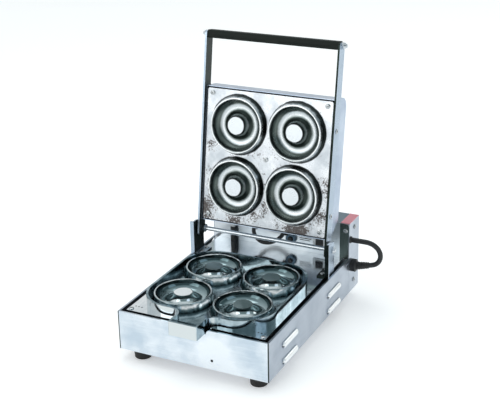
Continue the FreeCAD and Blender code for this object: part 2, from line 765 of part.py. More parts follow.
def handle_pieces():
    half_h, half_d = handle_height / 2, handle_depth / 2
    grip = rounded_block(-casing_half, casing_half, handle_y - half_h, handle_y + half_h,
                         arm_z - half_d, arm_z + half_d, 2.6, "x")
    for side in (-1, 1):
        x0, x1 = sorted((side * (casing_half - 12), side * 12))
        groove_cut = box(x0, x1, handle_y + half_h * 0.25, handle_y + half_h * 0.45,
                         arm_z - half_d - 1, arm_z - half_d + 0.6)
        grip = grip.cut(groove_cut)
    end = arm_outer + rod_stand_out
    stud = bar((-end, handle_y, arm_z), (end, handle_y, arm_z), stud_radius)
    save_lid("handle_grip", grip.cut(stud))
    save_lid("handle_stud", stud)
    nuts = [acorn_nut((side * arm_outer, handle_y, arm_z), (side, 0, 0), nut_across, 6.0, 1.6).cut(stud)
            for side in (-1, 1)]
    save_lid("handle_nuts", Part.makeCompound(nuts))


def lid():
    save_lid("upper_plate", upper_plate())
    save_lid("lid_casing", lid_casing())
    save_lid("lid_rails", lid_rails())
    lid_heating()
    screws = [screw((x, y, plate_face_z), (0, 0, 1), 3.8, 1.6, screw_hole, plate_thickness + 4.0)
              for x, y in plate_screw_places()[:-1]]
    screws.append(screw((0, plate_centre_y, plate_face_z), (0, 0, 1), 3.8, 1.6, screw_hole,
                        plate_thickness + 2 * heater_radius + clamp_sheet + 3.0))
    save_lid("plate_screws", Part.makeCompound(screws))
    save_lid("arm_left", lid_arm(-1))
    save_lid("arm_right", lid_arm(1))
    save_lid("arm_screws", Part.makeCompound([
        screw((side * arm_outer, y, z), (-side, 0, 0), 3.8, 1.4, screw_hole, arm_thickness + sheet + 0.6)
        for side in (-1, 1) for y, z in arm_screw_places()]))
    handle_pieces()


# ---- control box ---------------------------------------------------------------------
def box_shell():
    half = half_width - sheet
    front = box(-half, half, base_depth, base_depth + sheet, 0, box_height)
    opening = switch_case_half + 0.2
    windows = [
        box(switch_x - opening, switch_x + opening, base_depth - 1, base_depth + 3,
            switch_z - opening, switch_z + opening),
        bar((reset_x, base_depth - 1, reset_z), (reset_x, base_depth + 3, reset_z), 6.0),
    ]
    save("box_front", front.cut(windows))
    top = box(-half, half, base_depth + sheet, box_back, box_height - sheet, box_height)
    back = box(-half, half, box_back - sheet, box_back, sheet, box_height)
    holes = [bar((x, box_back - 3, z), (x, box_back + 1, z), lamp_hole)
             for x in (-knob_x, knob_x) for z in (knob_z, lamp_z)]
    vents = [rounded_block(x - 1.5, x + 1.5, box_back - 3, box_back + 1, 18, 46, 1.4, "y")
             for x in range(-24, 25, 8)]
    save("box_cover", union([top, back]).cut(holes + vents))
    save("box_bottom", box(-half, half, base_depth + sheet, box_back - sheet, 0, sheet))
    for side, name in ((-1, "box_side_left"), (1, "box_side_right")):
        x0, x1 = sorted((side * half, side * half_width))
        plate = box(x0, x1, base_depth, box_back, 0, box_height)
        if side > 0:
            plate = plate.cut(bar((x0 - 1, lead_y, gland_z), (x1 + 1, lead_y, gland_z), gland_hole))
        holes = [bar((x0 - 1, y, z), (x1 + 1, y, z), screw_hole) for y, z in side_screw_places()]
        save(name, plate.cut(holes))


def side_screw_places():
    y = base_depth + box_depth * side_screw_y
    return [(y, 16.0), (y, box_height - 12.0)]


def box_trim():
    half = half_width - sheet
    x0 = half - cap_width
    face = box(x0, half, base_depth - cap_sheet, base_depth, deck_z + 0.4, box_height)
    face = round_edges(face, 5.0, lambda p: abs(p.x - half) < 0.01 and abs(p.z - box_height) < 0.01)
    screw_x, screw_z = half - 4.5, box_height - 11.0
    hole = bar((screw_x, base_depth - 3, screw_z), (screw_x, base_depth + 1, screw_z), small_screw_hole)
    save("end_cap", face.cut(hole))
    save("end_strip", box(x0, half_width, base_depth + sheet + strip_inset, box_back - strip_setback,
                          box_height, box_height + strip_thickness))
    screws = [screw((side * half_width, y, z), (-side, 0, 0), 3.6, 1.8, screw_hole, 7.0)
              for side in (-1, 1) for y, z in side_screw_places()]
    screws.append(screw((screw_x, base_depth - cap_sheet, screw_z), (0, 1, 0), 2.6, 1.4,
                        small_screw_hole, cap_sheet - 0.1))
    save("box_screws", Part.makeCompound(screws))


def power_switch():
    bezel = rounded_block(switch_x - 11, switch_x + 11, base_depth - 1.8, base_depth, switch_z - 10.5,
                          switch_z + 10.5, 1.5, "y")
    case_half, tall = switch_case_half, switch_opening_half
    wide = case_half - switch_wall
    case = box(switch_x - case_half, switch_x + case_half, base_depth, base_depth + 16,
               switch_z - case_half, switch_z + case_half)
    hollow = box(switch_x - wide, switch_x + wide, base_depth - 3, base_depth + 9,
                 switch_z - tall, switch_z + tall)
    save("switch_bezel", union([bezel, case]).cut(hollow))
    y, z = base_depth + rocker_setback, switch_z
    profile = [(y - 5.6, z - 6.2), (y - 4.3, z), (y - 5.6, z + 6.2), (y + 2.4, z + 3.2), (y + 2.4, z - 3.2)]
    rocker = yz_prism(profile, switch_x - wide + 0.5, switch_x + wide - 0.5)
    rocker.rotate(V(0, y, z), V(1, 0, 0), -rocker_tilt)
    save("switch_rocker", rocker)


def reset_switch():
    y0 = base_depth
    collar = bar((reset_x, y0 - 5.0, reset_z), (reset_x, y0, reset_z), reset_collar)
    collar = collar.makeFillet(1.4, [e for e in collar.Edges if e.isClosed() and e.CenterOfMass.y < y0 - 4.9])
    neck = bar((reset_x, y0, reset_z), (reset_x, y0 + 18, reset_z), 5.9)
    hollow = bar((reset_x, y0 - 6, reset_z), (reset_x, y0 + 8, reset_z), reset_bore)
    save("reset_bush", union([collar, neck]).cut(hollow))
    button = bar((reset_x, y0 - 7.6, reset_z), (reset_x, y0 + 4.0, reset_z), reset_bore - 0.3)
    button = button.makeFillet(0.9, [e for e in button.Edges if e.isClosed()
                                     and e.CenterOfMass.y < y0 - 7.5])
    save("reset_button", button)


def thermostat(name, x):
    """The thermostat behind the back cover with its fixed bush."""
    inside = box_back - sheet
    body = bar((x, inside - thermostat_depth, knob_z), (x, inside, knob_z), thermostat_radius)
    bush = bar((x, inside, knob_z), (x, box_back + 2.2, knob_z), bush_radius)
    hollow = bar((x, box_back - 8, knob_z), (x, box_back + 5, knob_z), shaft_radius + shaft_fit)
    save(name, union([body, bush]).cut(hollow))


def knob(name, x):
    """A round control knob with finger flutes, a pointer rib and its own stub shaft."""
    y0, y1 = box_back + 2.6, box_back + knob_reach
    skirt = cone((x, y0, knob_z), (x, y0 + 3, knob_z), knob_radius, knob_radius - 0.8)
    grip = cone((x, y0 + 3, knob_z), (x, y1 - 1.2, knob_z), knob_radius - 3.0, knob_radius - 4.4)
    rib = box(x - 1.2, x + 1.2, y0 + 3, y1, knob_z, knob_z + knob_radius - 3.6)
    shaft = bar((x, box_back - 6, knob_z), (x, y0 + 1, knob_z), shaft_radius)
    flutes = []
    for step in range(12):
        angle = math.radians(30 * step + 15)
        fx = x + (knob_radius - 2.6) * math.cos(angle)
        fz = knob_z + (knob_radius - 2.6) * math.sin(angle)
        flutes.append(bar((fx, y0 + 3.001, fz), (fx, y1 + 1, fz), 1.3))
    save(name, union([union([skirt, grip]).cut(flutes), rib, shaft]))


def box_controls():
    power_switch()
    reset_switch()
    for side, row in ((-1, "lower"), (1, "upper")):
        thermostat(f"thermostat_{row}", side * knob_x)
        knob(f"knob_{row}", side * knob_x)
    lamps = []
    for x in (-knob_x, knob_x):
        dome = bar((x, box_back, lamp_z), (x, box_back + 3.4, lamp_z), 6.4)
        dome = dome.makeFillet(2.2, [e for e in dome.Edges if e.isClosed()
                                     and e.CenterOfMass.y > box_back + 3.3])
        stem = bar((x, box_back - 14, lamp_z), (x, box_back, lamp_z), lamp_hole - 0.1)
        lamps.append(union([dome, stem]))
    save("pilot_lamps", Part.makeCompound(lamps))
    terminal = box(62, 102, base_depth + 12, base_depth + 30, sheet, 22)
    wells = [bar((x, base_depth + 21, 12), (x, base_depth + 21, 23), 2.4)
             for x in (67.0, 74.5, 82.0, 89.5, 97.0)]
    save("terminal_block", terminal.cut(wells))
    x0, x1 = guard_x
    top = deck_z + guard_height
    save("wire_guard", rounded_block(x0, x1, base_depth - guard_depth, base_depth, deck_z, top, 2.0, "z"))
    save("wire_guard_cap", rounded_block(x0 + 1, x1 - 1, base_depth - guard_depth + 1, base_depth, top,
                                         top + guard_cap_height, 2.0, "z"))


# ---- leads ---------------------------------------------------------------------------
def report_tube(name, points, radius):
    """Make a lead, print its length, bend radii and volume, and save it."""
    tube, length, radii = bent_tube(points, radius)
    wanted = math.pi * radius ** 2 * length
    print(f"{name}: length {length:.1f}, radii {[round(r, 1) for r in radii]}, "
          f"volume {tube.Volume:.0f} against {wanted:.0f}")
    save(name, tube)


def leads():
    face = half_width + gland_length
    nut = bar((half_width, lead_y, gland_z), (face, lead_y, gland_z), gland_radius)
    grips = []
    for degrees in range(0, 360, 30):
        y = lead_y + (gland_radius + 0.6) * math.cos(math.radians(degrees))
        z = gland_z + (gland_radius + 0.6) * math.sin(math.radians(degrees))
        grips.append(bar((half_width + 2.2, y, z), (face - 1.0, y, z), 1.4))
    thread = bar((half_width - 10, lead_y, gland_z), (half_width, lead_y, gland_z), gland_hole - 0.1)
    save("lead_gland", union([nut.cut(grips), thread]))
    route = [(half_width + out, base_depth + back, gland_z + up) for out, back, up in lead_bends]
    relief = cone((face, lead_y, gland_z), route[0], *relief_radii)
    reach = gland_radius + 2.0
    inside = box(half_width, face, lead_y - reach, lead_y + reach, gland_z - reach, gland_z + reach)
    save("bend_relief", relief.cut(inside))
    report_tube("heater_lead", route, lead_radius)
    route = [(x, base_depth - ahead, deck_z + up) for x, ahead, up in inner_lead_bends]
    report_tube("inner_lead", route, inner_lead_radius)


base()
lid()
box_shell()
box_trim()
box_controls()
leads()
print(len(made), "nodes")
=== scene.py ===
"""Looks for a four-cup ring donut maker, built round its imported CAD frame.

Sizes are metres unless a name ends in _mm.  The rest pose has the lid standing open.
"""

import json
import logging
import math
from dataclasses import dataclass, field
from enum import Enum
from typing import Any, Callable, Dict, Iterable, List, Optional, Sequence, Tuple

import bmesh
import bpy
from mathutils import Matrix, Vector

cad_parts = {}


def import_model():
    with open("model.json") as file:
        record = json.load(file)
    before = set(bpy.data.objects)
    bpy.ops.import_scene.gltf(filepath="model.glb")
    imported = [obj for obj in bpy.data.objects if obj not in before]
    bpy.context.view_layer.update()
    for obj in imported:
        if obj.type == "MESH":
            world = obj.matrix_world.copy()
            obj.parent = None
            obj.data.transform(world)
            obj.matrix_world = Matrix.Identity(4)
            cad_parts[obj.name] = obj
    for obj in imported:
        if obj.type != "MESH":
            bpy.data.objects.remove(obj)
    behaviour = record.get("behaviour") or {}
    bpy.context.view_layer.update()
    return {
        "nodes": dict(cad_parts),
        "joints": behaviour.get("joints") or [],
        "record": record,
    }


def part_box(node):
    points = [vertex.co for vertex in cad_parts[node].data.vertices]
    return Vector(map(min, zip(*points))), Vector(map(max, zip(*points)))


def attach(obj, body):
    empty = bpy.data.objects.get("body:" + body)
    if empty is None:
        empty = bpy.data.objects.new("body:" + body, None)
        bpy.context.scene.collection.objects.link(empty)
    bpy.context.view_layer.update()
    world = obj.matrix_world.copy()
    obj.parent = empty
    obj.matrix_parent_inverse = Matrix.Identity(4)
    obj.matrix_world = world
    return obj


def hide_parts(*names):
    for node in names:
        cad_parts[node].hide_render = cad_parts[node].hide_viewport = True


LOG = logging.getLogger("donut_maker")
MM = 0.001
SHARP = math.radians(38)        # corners steeper than this stay corners
Socket = bpy.types.NodeSocket
# finish, width of the broken edge in millimetres and nodes; finish and nodes
Edges = Tuple[Tuple[str, float, Tuple[str, ...]], ...]
Paints = Tuple[Tuple[str, Tuple[str, ...]], ...]


class Axis(Enum):
    """The way in which a sheet was brushed or a bar was drawn."""

    ALONG_X = (0.03, 1.0, 1.0)
    ALONG_Y = (1.0, 0.03, 1.0)
    ALONG_Z = (1.0, 1.0, 0.03)


# ---- small tools ---------------------------------------------------------------------
def linear(code: str) -> Tuple[float, float, float, float]:
    """Turn an sRGB hex colour into linear light.

    Args:
        code: Six hex digits, with or without a leading hash.

    Returns:
        Red, green, blue and an alpha of 1.
    """
    digits = code.lstrip("#")
    parts = [int(digits[i:i + 2], 16) / 255 for i in (0, 2, 4)]
    light = [c / 12.92 if c <= 0.04045 else ((c + 0.055) / 1.055) ** 2.4 for c in parts]
    return light[0], light[1], light[2], 1.0


def per_mm(size_mm: float) -> float:
    """Give the texture scale whose features are this many millimetres across."""
    return 1000.0 / size_mm


def add(tree: bpy.types.NodeTree, kind: str, inputs: Optional[Dict[Any, Any]] = None,
        **settings: Any) -> bpy.types.Node:
    """Add a node, with its settings, values and links.

    Args:
        tree: The tree that gets the node.
        kind: The node's type.
        inputs: For each input, by name or index, a value, a hex colour, an output socket, or a
            node, which stands for its first output in use.
        **settings: Properties of the node itself.

    Returns:
        The new node.
    """
    node = tree.nodes.new(kind)
    for name, value in settings.items():
        setattr(node, name, value)
    for key, value in (inputs or {}).items():
        if isinstance(value, bpy.types.Node):
            value = next(output for output in value.outputs if output.enabled)
        if isinstance(value, Socket):
            tree.links.new(value, node.inputs[key])
        elif isinstance(value, str) and value.startswith("#"):
            node.inputs[key].default_value = linear(value)
        else:
            node.inputs[key].default_value = value
    return node


def evaluated_mesh(obj: bpy.types.Object, name: str) -> bpy.types.Mesh:
    """Give the mesh that an object's modifiers or curve make.

    Args:
        obj: The object to evaluate.
        name: The new mesh's name.

    Returns:
        A mesh of its own, with no modifiers left on it.
    """
    bpy.context.view_layer.update()
    graph = bpy.context.evaluated_depsgraph_get()
    mesh = bpy.data.meshes.new_from_object(obj.evaluated_get(graph), depsgraph=graph)
    mesh.name = name
    return mesh


def place(name: str, mesh: bpy.types.Mesh) -> bpy.types.Object:
    """Put a mesh into the scene at the origin.

    Args:
        name: The object's name.
        mesh: Its mesh.

    Returns:
        The object.
    """
    obj = bpy.data.objects.new(name, mesh)
    bpy.context.scene.collection.objects.link(obj)
    return obj


def islands(node: str) -> List[List[Vector]]:
    """Split a CAD node into its separate solids.

    Args:
        node: The CAD node's name.

    Returns:
        The corner points of each solid.
    """
    bm = bmesh.new()
    bm.from_mesh(bpy.data.objects[node].data)
    bmesh.ops.remove_doubles(bm, verts=bm.verts, dist=1e-6)
    left, found = set(bm.verts), []
    while left:
        seed = left.pop()
        group, queue = [seed.co.copy()], [seed]
        while queue:
            for edge in queue.pop().link_edges:
                for vert in edge.verts:
                    if vert in left:
                        left.remove(vert)
                        group.append(vert.co.copy())
                        queue.append(vert)
        found.append(group)
    bm.free()
    return sorted(found, key=lambda g: (round(g[0].z, 3), round(g[0].x, 3), round(g[0].y, 3)))


def turned(name: str, profile: Sequence[Tuple[float, float]], start: Vector, along: Vector,
           sides: int = 40) -> bpy.types.Object:
    """Turn a profile about a line into a closed piece.

    Args:
        name: The piece's name.
        profile: Pairs of distance along the line and radius, from end to end.
        start: Where the line starts.
        along: The line's direction.
        sides: The number of faces round the piece.

    Returns:
        The new object, smooth but for its sharp corners.
    """
    turn = along.normalized().to_track_quat("Z", "Y").to_matrix()
    bm = bmesh.new()
    rings = []
    for reach, radius in profile:
        ring = []
        for step in range(sides):
            angle = 2 * math.pi * step / sides
            spot = Vector((radius * math.cos(angle), radius * math.sin(angle), reach))
            ring.append(bm.verts.new(start + turn @ spot))
        rings.append(ring)
    for low, high in zip(rings, rings[1:]):
        for step in range(sides):
            after = (step + 1) % sides
            bm.faces.new((low[step], low[after], high[after], high[step]))
    bm.faces.new(list(reversed(rings[0])))
    bm.faces.new(rings[-1])
    bmesh.ops.recalc_face_normals(bm, faces=bm.faces)
    mesh = bpy.data.meshes.new(name)
    bm.to_mesh(mesh)
    bm.free()
    mesh.shade_smooth()
    mesh.set_sharp_from_angle(angle=SHARP)
    return place(name, mesh)


def softened(node: str, width_mm: float, segments: int = 2, dissolve: bool = True
             ) -> bpy.types.Object:
    """Copy a CAD node with its edges broken, as a press or a file leaves them.

    Args:
        node: The CAD node to copy.
        width_mm: The width of the broken edge.
        segments: Steps across each edge.
        dissolve: Whether the flat faces are made whole first.

    Returns:
        The new object, at the origin.
    """
    bm = bmesh.new()
    bm.from_mesh(bpy.data.objects[node].data)
    bmesh.ops.remove_doubles(bm, verts=bm.verts, dist=2e-6)
    bmesh.ops.dissolve_degenerate(bm, edges=bm.edges, dist=1e-6)
    if dissolve:
        bmesh.ops.dissolve_limit(bm, angle_limit=math.radians(0.6), verts=bm.verts, edges=bm.edges)
    mesh = bpy.data.meshes.new(node + "_rough")
    bm.to_mesh(mesh)
    bm.free()
    mesh.shade_smooth()
    rough = place(node + "_rough", mesh)
    bevel = rough.modifiers.new("edges", "BEVEL")
    bevel.width = width_mm * MM
    bevel.segments = segments
    bevel.limit_method = "ANGLE"
    bevel.angle_limit = SHARP
    bevel.use_clamp_overlap = True
    weigh = rough.modifiers.new("normals", "WEIGHTED_NORMAL")
    weigh.mode = "FACE_AREA"
    weigh.weight = 100
    done = evaluated_mesh(rough, node + "_finished")
    bpy.data.objects.remove(rough)
    return place(node + "_finished", done)


# ---- finishes ------------------------------------------------------------------------
@dataclass(frozen=True)
class Finish:
    """What every finish shares: its name and the start of its node tree."""

    name: str

    def start(self) -> Tuple[bpy.types.Material, bpy.types.NodeTree, Socket]:
        """Begin a material.

        Returns:
            The material, its tree and its object coordinates.
        """
        material = bpy.data.materials.new(self.name)
        material.use_nodes = True
        tree = material.node_tree
        tree.nodes.clear()
        return material, tree, add(tree, "ShaderNodeTexCoord").outputs["Object"]

    def close(self, material: bpy.types.Material, surface: Dict[str, Any]) -> bpy.types.Material:
        """End a material in one surface shader.

        Args:
            material: The material.
            surface: The shader's inputs by name.

        Returns:
            The material.
        """
        shader = add(material.node_tree, "ShaderNodeBsdfPrincipled", surface)
        add(material.node_tree, "ShaderNodeOutputMaterial", {"Surface": shader})
        return material

    def make(self) -> bpy.types.Material:
        """Build the material; each finish has its own."""
        raise NotImplementedError


@dataclass(frozen=True)
class Stainless(Finish):
    """Rolled stainless steel sheet: fine brushing lines and faint wiping marks."""

    light: str = "#c9d2da"
    shade: str = "#9fadb9"
    roughness: float = 0.24
    spread: float = 0.10
    grain: Axis = Axis.ALONG_Y
    line_mm: float = 0.9            # drawn coarser than real brushing so that it shows
    line_share: float = 0.5         # haze against lines: 0 is lines alone
    haze_mm: float = 60.0
    bump: float = 0.02
    # other colours beyond a plane: its axis, where they start, where they are full, the colour
    zones: Tuple[Tuple[int, float, float, str], ...] = ()

    def make(self) -> bpy.types.Material:
        """Build brushed or polished sheet from one family of stretched noise.

        Returns:
            The material.
        """
        material, tree, where = self.start()
        stretched = add(tree, "ShaderNodeMapping", {"Vector": where, "Scale": self.grain.value})
        lines = add(tree, "ShaderNodeTexNoise", {
            "Vector": stretched, "Scale": per_mm(self.line_mm), "Detail": 3.0})
        haze = add(tree, "ShaderNodeTexNoise", {
            "Vector": where, "Scale": per_mm(self.haze_mm), "Detail": 4.0, "Roughness": 0.55})
        both = add(tree, "ShaderNodeMix", {0: self.line_share, 2: lines, 3: haze})
        tone = add(tree, "ShaderNodeMapRange", {"Value": both, "From Min": 0.38, "From Max": 0.62})
        colour = add(tree, "ShaderNodeMix", {
            0: tone, 6: self.shade, 7: self.light}, data_type="RGBA")
        parts = add(tree, "ShaderNodeSeparateXYZ", {0: where}) if self.zones else None
        for axis, start, full, code in self.zones:
            share = add(tree, "ShaderNodeMapRange", {
                "Value": parts.outputs[axis], "From Min": start, "From Max": full})
            colour = add(tree, "ShaderNodeMix", {0: share, 6: colour, 7: code}, data_type="RGBA")
        rough = add(tree, "ShaderNodeMapRange", {
            "Value": both, "From Min": 0.35, "From Max": 0.65,
            "To Min": self.roughness + self.spread / 2, "To Max": self.roughness - self.spread / 2})
        relief = add(tree, "ShaderNodeBump", {
            "Height": lines, "Strength": self.bump, "Distance": 0.0002})
        return self.close(material, {
            "Base Color": colour, "Roughness": rough, "Normal": relief, "Metallic": 1.0})


@dataclass(frozen=True)
class CupPlate(Finish):
    """Cast aluminium with four ring cups: painted reflections in bright and dark rings round each
    cup, painted shade on three posts and a painted reflection on faces that look forwards, spotted
    with burnt batter near the hinge."""

    light: str = "#f3f5f7"
    shade: str = "#dde2e6"
    soot: str = "#5d544d"
    reflection_rings: Tuple[Tuple[float, str], ...] = ()   # radius in millimetres and the painted reflection's colour there
    centre: Tuple[float, float, float] = (0.0, 0.0, 0.0)
    tilt: float = 0.0
    half_pitch: float = 0.04865
    post_radius: float = 0.0132
    foot_radius: float = 0.0472
    blur: float = 0.0012            # how softly one zone goes over into the next
    waver: float = 0.0011           # how far the rings stray from round
    reach_mm: float = 50.0          # radius at the end of the painted reflection rings
    roughness: float = 0.2
    cloud_mm: float = 26.0
    patch_mm: float = 30.0
    speck_mm: float = 2.4           # drawn coarser than real specks so that they show
    spots: float = 0.5              # how much of the plate carries burnt spots
    painted_post_shade: str = ""             # painted shade: three posts take this darker colour where it is given
    front_reflection: str = ""            # painted reflection: faces that look forwards take this paler colour
    reflection_reach_x: float = 0.03           # as far right as this

    def ring(self, tree: bpy.types.NodeTree, where: Socket, parts: bpy.types.Node
             ) -> bpy.types.Node:
        """Measure how far each point is from the nearest cup's centre.

        Args:
            tree: The material's tree.
            where: The object coordinates.
            parts: The coordinates in the plate's own plane, split.

        Returns:
            The node that gives the distance.
        """
        reach = []
        for axis in (0, 1):
            away = add(tree, "ShaderNodeMath", {0: parts.outputs[axis]}, operation="ABSOLUTE")
            reach.append(add(tree, "ShaderNodeMath", {0: away, 1: self.half_pitch},
                             operation="SUBTRACT"))
        joined = add(tree, "ShaderNodeCombineXYZ", {0: reach[0], 1: reach[1]})
        length = add(tree, "ShaderNodeVectorMath", {0: joined}, operation="LENGTH")
        wander = add(tree, "ShaderNodeTexNoise", {
            "Vector": where, "Scale": per_mm(9.0), "Detail": 3.0})
        slip = add(tree, "ShaderNodeMapRange", {
            "Value": wander, "To Min": -self.waver, "To Max": self.waver})
        return add(tree, "ShaderNodeMath", {0: length, 1: slip})

    def burnt(self, tree: bpy.types.NodeTree, where: Socket, parts: bpy.types.Node,
              specks: bpy.types.Node, outside: bpy.types.Node) -> bpy.types.Node:
        """Scatter burnt spots, thick towards the hinge and thin in the cups.

        Args:
            tree: The material's tree.
            where: The object coordinates.
            parts: The coordinates in the plate's own plane, split.
            specks: The fine grain.
            outside: One outside the cups and nought inside.

        Returns:
            The node that says how burnt a point is.
        """
        patch = add(tree, "ShaderNodeTexNoise", {
            "Vector": where, "Scale": per_mm(self.patch_mm), "Detail": 2.0, "Roughness": 0.5})
        heat = add(tree, "ShaderNodeMapRange", {
            "Value": parts.outputs[1], "From Min": -0.09, "From Max": 0.085,
            "To Min": 0.55, "To Max": 1.0})
        crowd = add(tree, "ShaderNodeMath", {0: patch, 1: heat}, operation="MULTIPLY")
        kept = add(tree, "ShaderNodeMath", {0: crowd, 1: outside}, operation="MULTIPLY")
        limit = add(tree, "ShaderNodeMapRange", {
            "Value": kept, "From Min": 0.3, "From Max": 0.62,
            "To Min": 0.68, "To Max": 0.68 - 0.2 * self.spots})
        over = add(tree, "ShaderNodeMath", {0: specks, 1: limit}, operation="SUBTRACT")
        return add(tree, "ShaderNodeMapRange", {
            "Value": over, "From Min": 0.0, "From Max": 0.06, "To Max": 0.8})

    def make(self) -> bpy.types.Material:
        """Build the casting from its distance to the nearest cup's centre.

        Returns:
            The material.
        """
        material, tree, where = self.start()
        flat = add(tree, "ShaderNodeMapping", {
            "Vector": where, "Location": self.centre, "Rotation": (self.tilt, 0.0, 0.0)},
            vector_type="TEXTURE")
        parts = add(tree, "ShaderNodeSeparateXYZ", {0: flat})
        ring = self.ring(tree, where, parts)
        cloud = add(tree, "ShaderNodeTexNoise", {
            "Vector": where, "Scale": per_mm(self.cloud_mm), "Detail": 6.0, "Roughness": 0.62})
        tone = add(tree, "ShaderNodeMapRange", {"Value": cloud, "From Min": 0.36, "From Max": 0.64})
        plate = add(tree, "ShaderNodeMix", {
            0: tone, 6: self.shade, 7: self.light}, data_type="RGBA")
        # painted reflections: bright and dark rings set by the distance from the nearest cup's
        # centre
        share = add(tree, "ShaderNodeMath", {0: ring, 1: self.reach_mm * MM}, operation="DIVIDE")
        cup = add(tree, "ShaderNodeValToRGB", {0: share})
        stops = cup.color_ramp.elements
        while len(stops) < len(self.reflection_rings):
            stops.new(0.5)
        for stop, (radius, code) in zip(stops, self.reflection_rings):
            stop.position = radius / self.reach_mm
            stop.color = linear(code)
        shine: Any = 1.0
        # painted shade on the three posts other than the front left one
        if self.painted_post_shade:
            right, back = (add(tree, "ShaderNodeMath", {0: parts.outputs[axis], 1: 0.0},
                               operation="GREATER_THAN") for axis in (0, 1))
            other = add(tree, "ShaderNodeMath", {0: right, 1: back}, operation="MAXIMUM")
            top = add(tree, "ShaderNodeMapRange", {
                "Value": ring, "From Min": self.post_radius + self.blur / 2,
                "From Max": self.post_radius})
            both = add(tree, "ShaderNodeMath", {0: other, 1: top}, operation="MULTIPLY")
            cup = add(tree, "ShaderNodeMix", {0: both, 6: cup, 7: self.painted_post_shade}, data_type="RGBA")
            shine = add(tree, "ShaderNodeMapRange", {"Value": top, "To Min": 1.0, "To Max": 0.3})
        outside = add(tree, "ShaderNodeMapRange", {
            "Value": ring, "From Min": self.foot_radius,
            "From Max": self.foot_radius + self.blur})
        # painted reflection: faces that look forwards turn paler, left of a given X
        if self.front_reflection:
            sight = add(tree, "ShaderNodeTexCoord")
            facing = add(tree, "ShaderNodeSeparateXYZ", {0: sight.outputs["Normal"]})
            forward = add(tree, "ShaderNodeMapRange", {
                "Value": facing.outputs[1], "From Min": -0.6, "From Max": -0.95})
            left_of_reach = add(tree, "ShaderNodeMapRange", {
                "Value": parts.outputs[0], "From Min": self.reflection_reach_x + 0.003,
                "From Max": self.reflection_reach_x})
            pale = add(tree, "ShaderNodeMath", {0: forward, 1: left_of_reach}, operation="MULTIPLY")
            plate = add(tree, "ShaderNodeMix", {0: pale, 6: plate, 7: self.front_reflection},
                        data_type="RGBA")
        metal = add(tree, "ShaderNodeMix", {0: outside, 6: cup, 7: plate}, data_type="RGBA")
        specks = add(tree, "ShaderNodeTexNoise", {
            "Vector": where, "Scale": per_mm(self.speck_mm), "Detail": 5.0, "Roughness": 0.72})
        burnt = self.burnt(tree, where, parts, specks, outside)
        colour = add(tree, "ShaderNodeMix", {0: burnt, 6: metal, 7: self.soot}, data_type="RGBA")
        rough = add(tree, "ShaderNodeMapRange", {
            "Value": cloud, "From Min": 0.3, "From Max": 0.7,
            "To Min": self.roughness + 0.07, "To Max": self.roughness - 0.04})
        rougher = add(tree, "ShaderNodeMath", {0: rough, 1: burnt}, operation="MAXIMUM")
        relief = add(tree, "ShaderNodeBump", {
            "Height": specks, "Strength": 0.06, "Distance": 0.0003})
        return self.close(material, {
            "Base Color": colour, "Roughness": rougher, "Normal": relief, "Metallic": shine})


@dataclass(frozen=True)
class TwoFacedBar(Finish):
    """Flat steel with painted shade on the face that looks in over the cups."""

    clean: str = "#bccad8"
    dull: str = "#96a7b8"
    dark: str = "#141d1a"
    # the X of the normal where the painted shade starts and where it is full
    dark_from: float = 0.35
    dark_full: float = 0.75
    roughness: float = 0.28

    def make(self) -> bpy.types.Material:
        """Build the bar from which way each face looks.

        Returns:
            The material.
        """
        material, tree, where = self.start()
        normal = add(tree, "ShaderNodeTexCoord")
        parts = add(tree, "ShaderNodeSeparateXYZ", {0: normal.outputs["Normal"]})
        facing = add(tree, "ShaderNodeMapRange", {
            "Value": parts.outputs[0], "From Min": self.dark_from, "From Max": self.dark_full})
        streak = add(tree, "ShaderNodeMapping", {"Vector": where, "Scale": Axis.ALONG_Z.value})
        lines = add(tree, "ShaderNodeTexNoise", {
            "Vector": streak, "Scale": per_mm(1.1), "Detail": 3.0})
        smear = add(tree, "ShaderNodeTexNoise", {
            "Vector": where, "Scale": per_mm(17.0), "Detail": 5.0, "Roughness": 0.6})
        tone = add(tree, "ShaderNodeMapRange", {
            "Value": smear, "From Min": 0.35, "From Max": 0.7,
            "To Min": 0.0, "To Max": 0.45})
        # painted shade: the inward face's dark, mottled lighter and darker
        painted_shade = add(tree, "ShaderNodeMix", {0: tone, 6: self.dark, 7: "#3c4944"}, data_type="RGBA")
        bright = add(tree, "ShaderNodeMix", {
            0: lines, 6: self.dull, 7: self.clean}, data_type="RGBA")
        colour = add(tree, "ShaderNodeMix", {0: facing, 6: bright, 7: painted_shade}, data_type="RGBA")
        rough = add(tree, "ShaderNodeMapRange", {
            "Value": smear, "From Min": 0.3, "From Max": 0.7,
            "To Min": self.roughness - 0.06, "To Max": self.roughness + 0.1})
        relief = add(tree, "ShaderNodeBump", {
            "Height": lines, "Strength": 0.03, "Distance": 0.0002})
        return self.close(material, {
            "Base Color": colour, "Roughness": rough, "Normal": relief, "Metallic": 0.85})


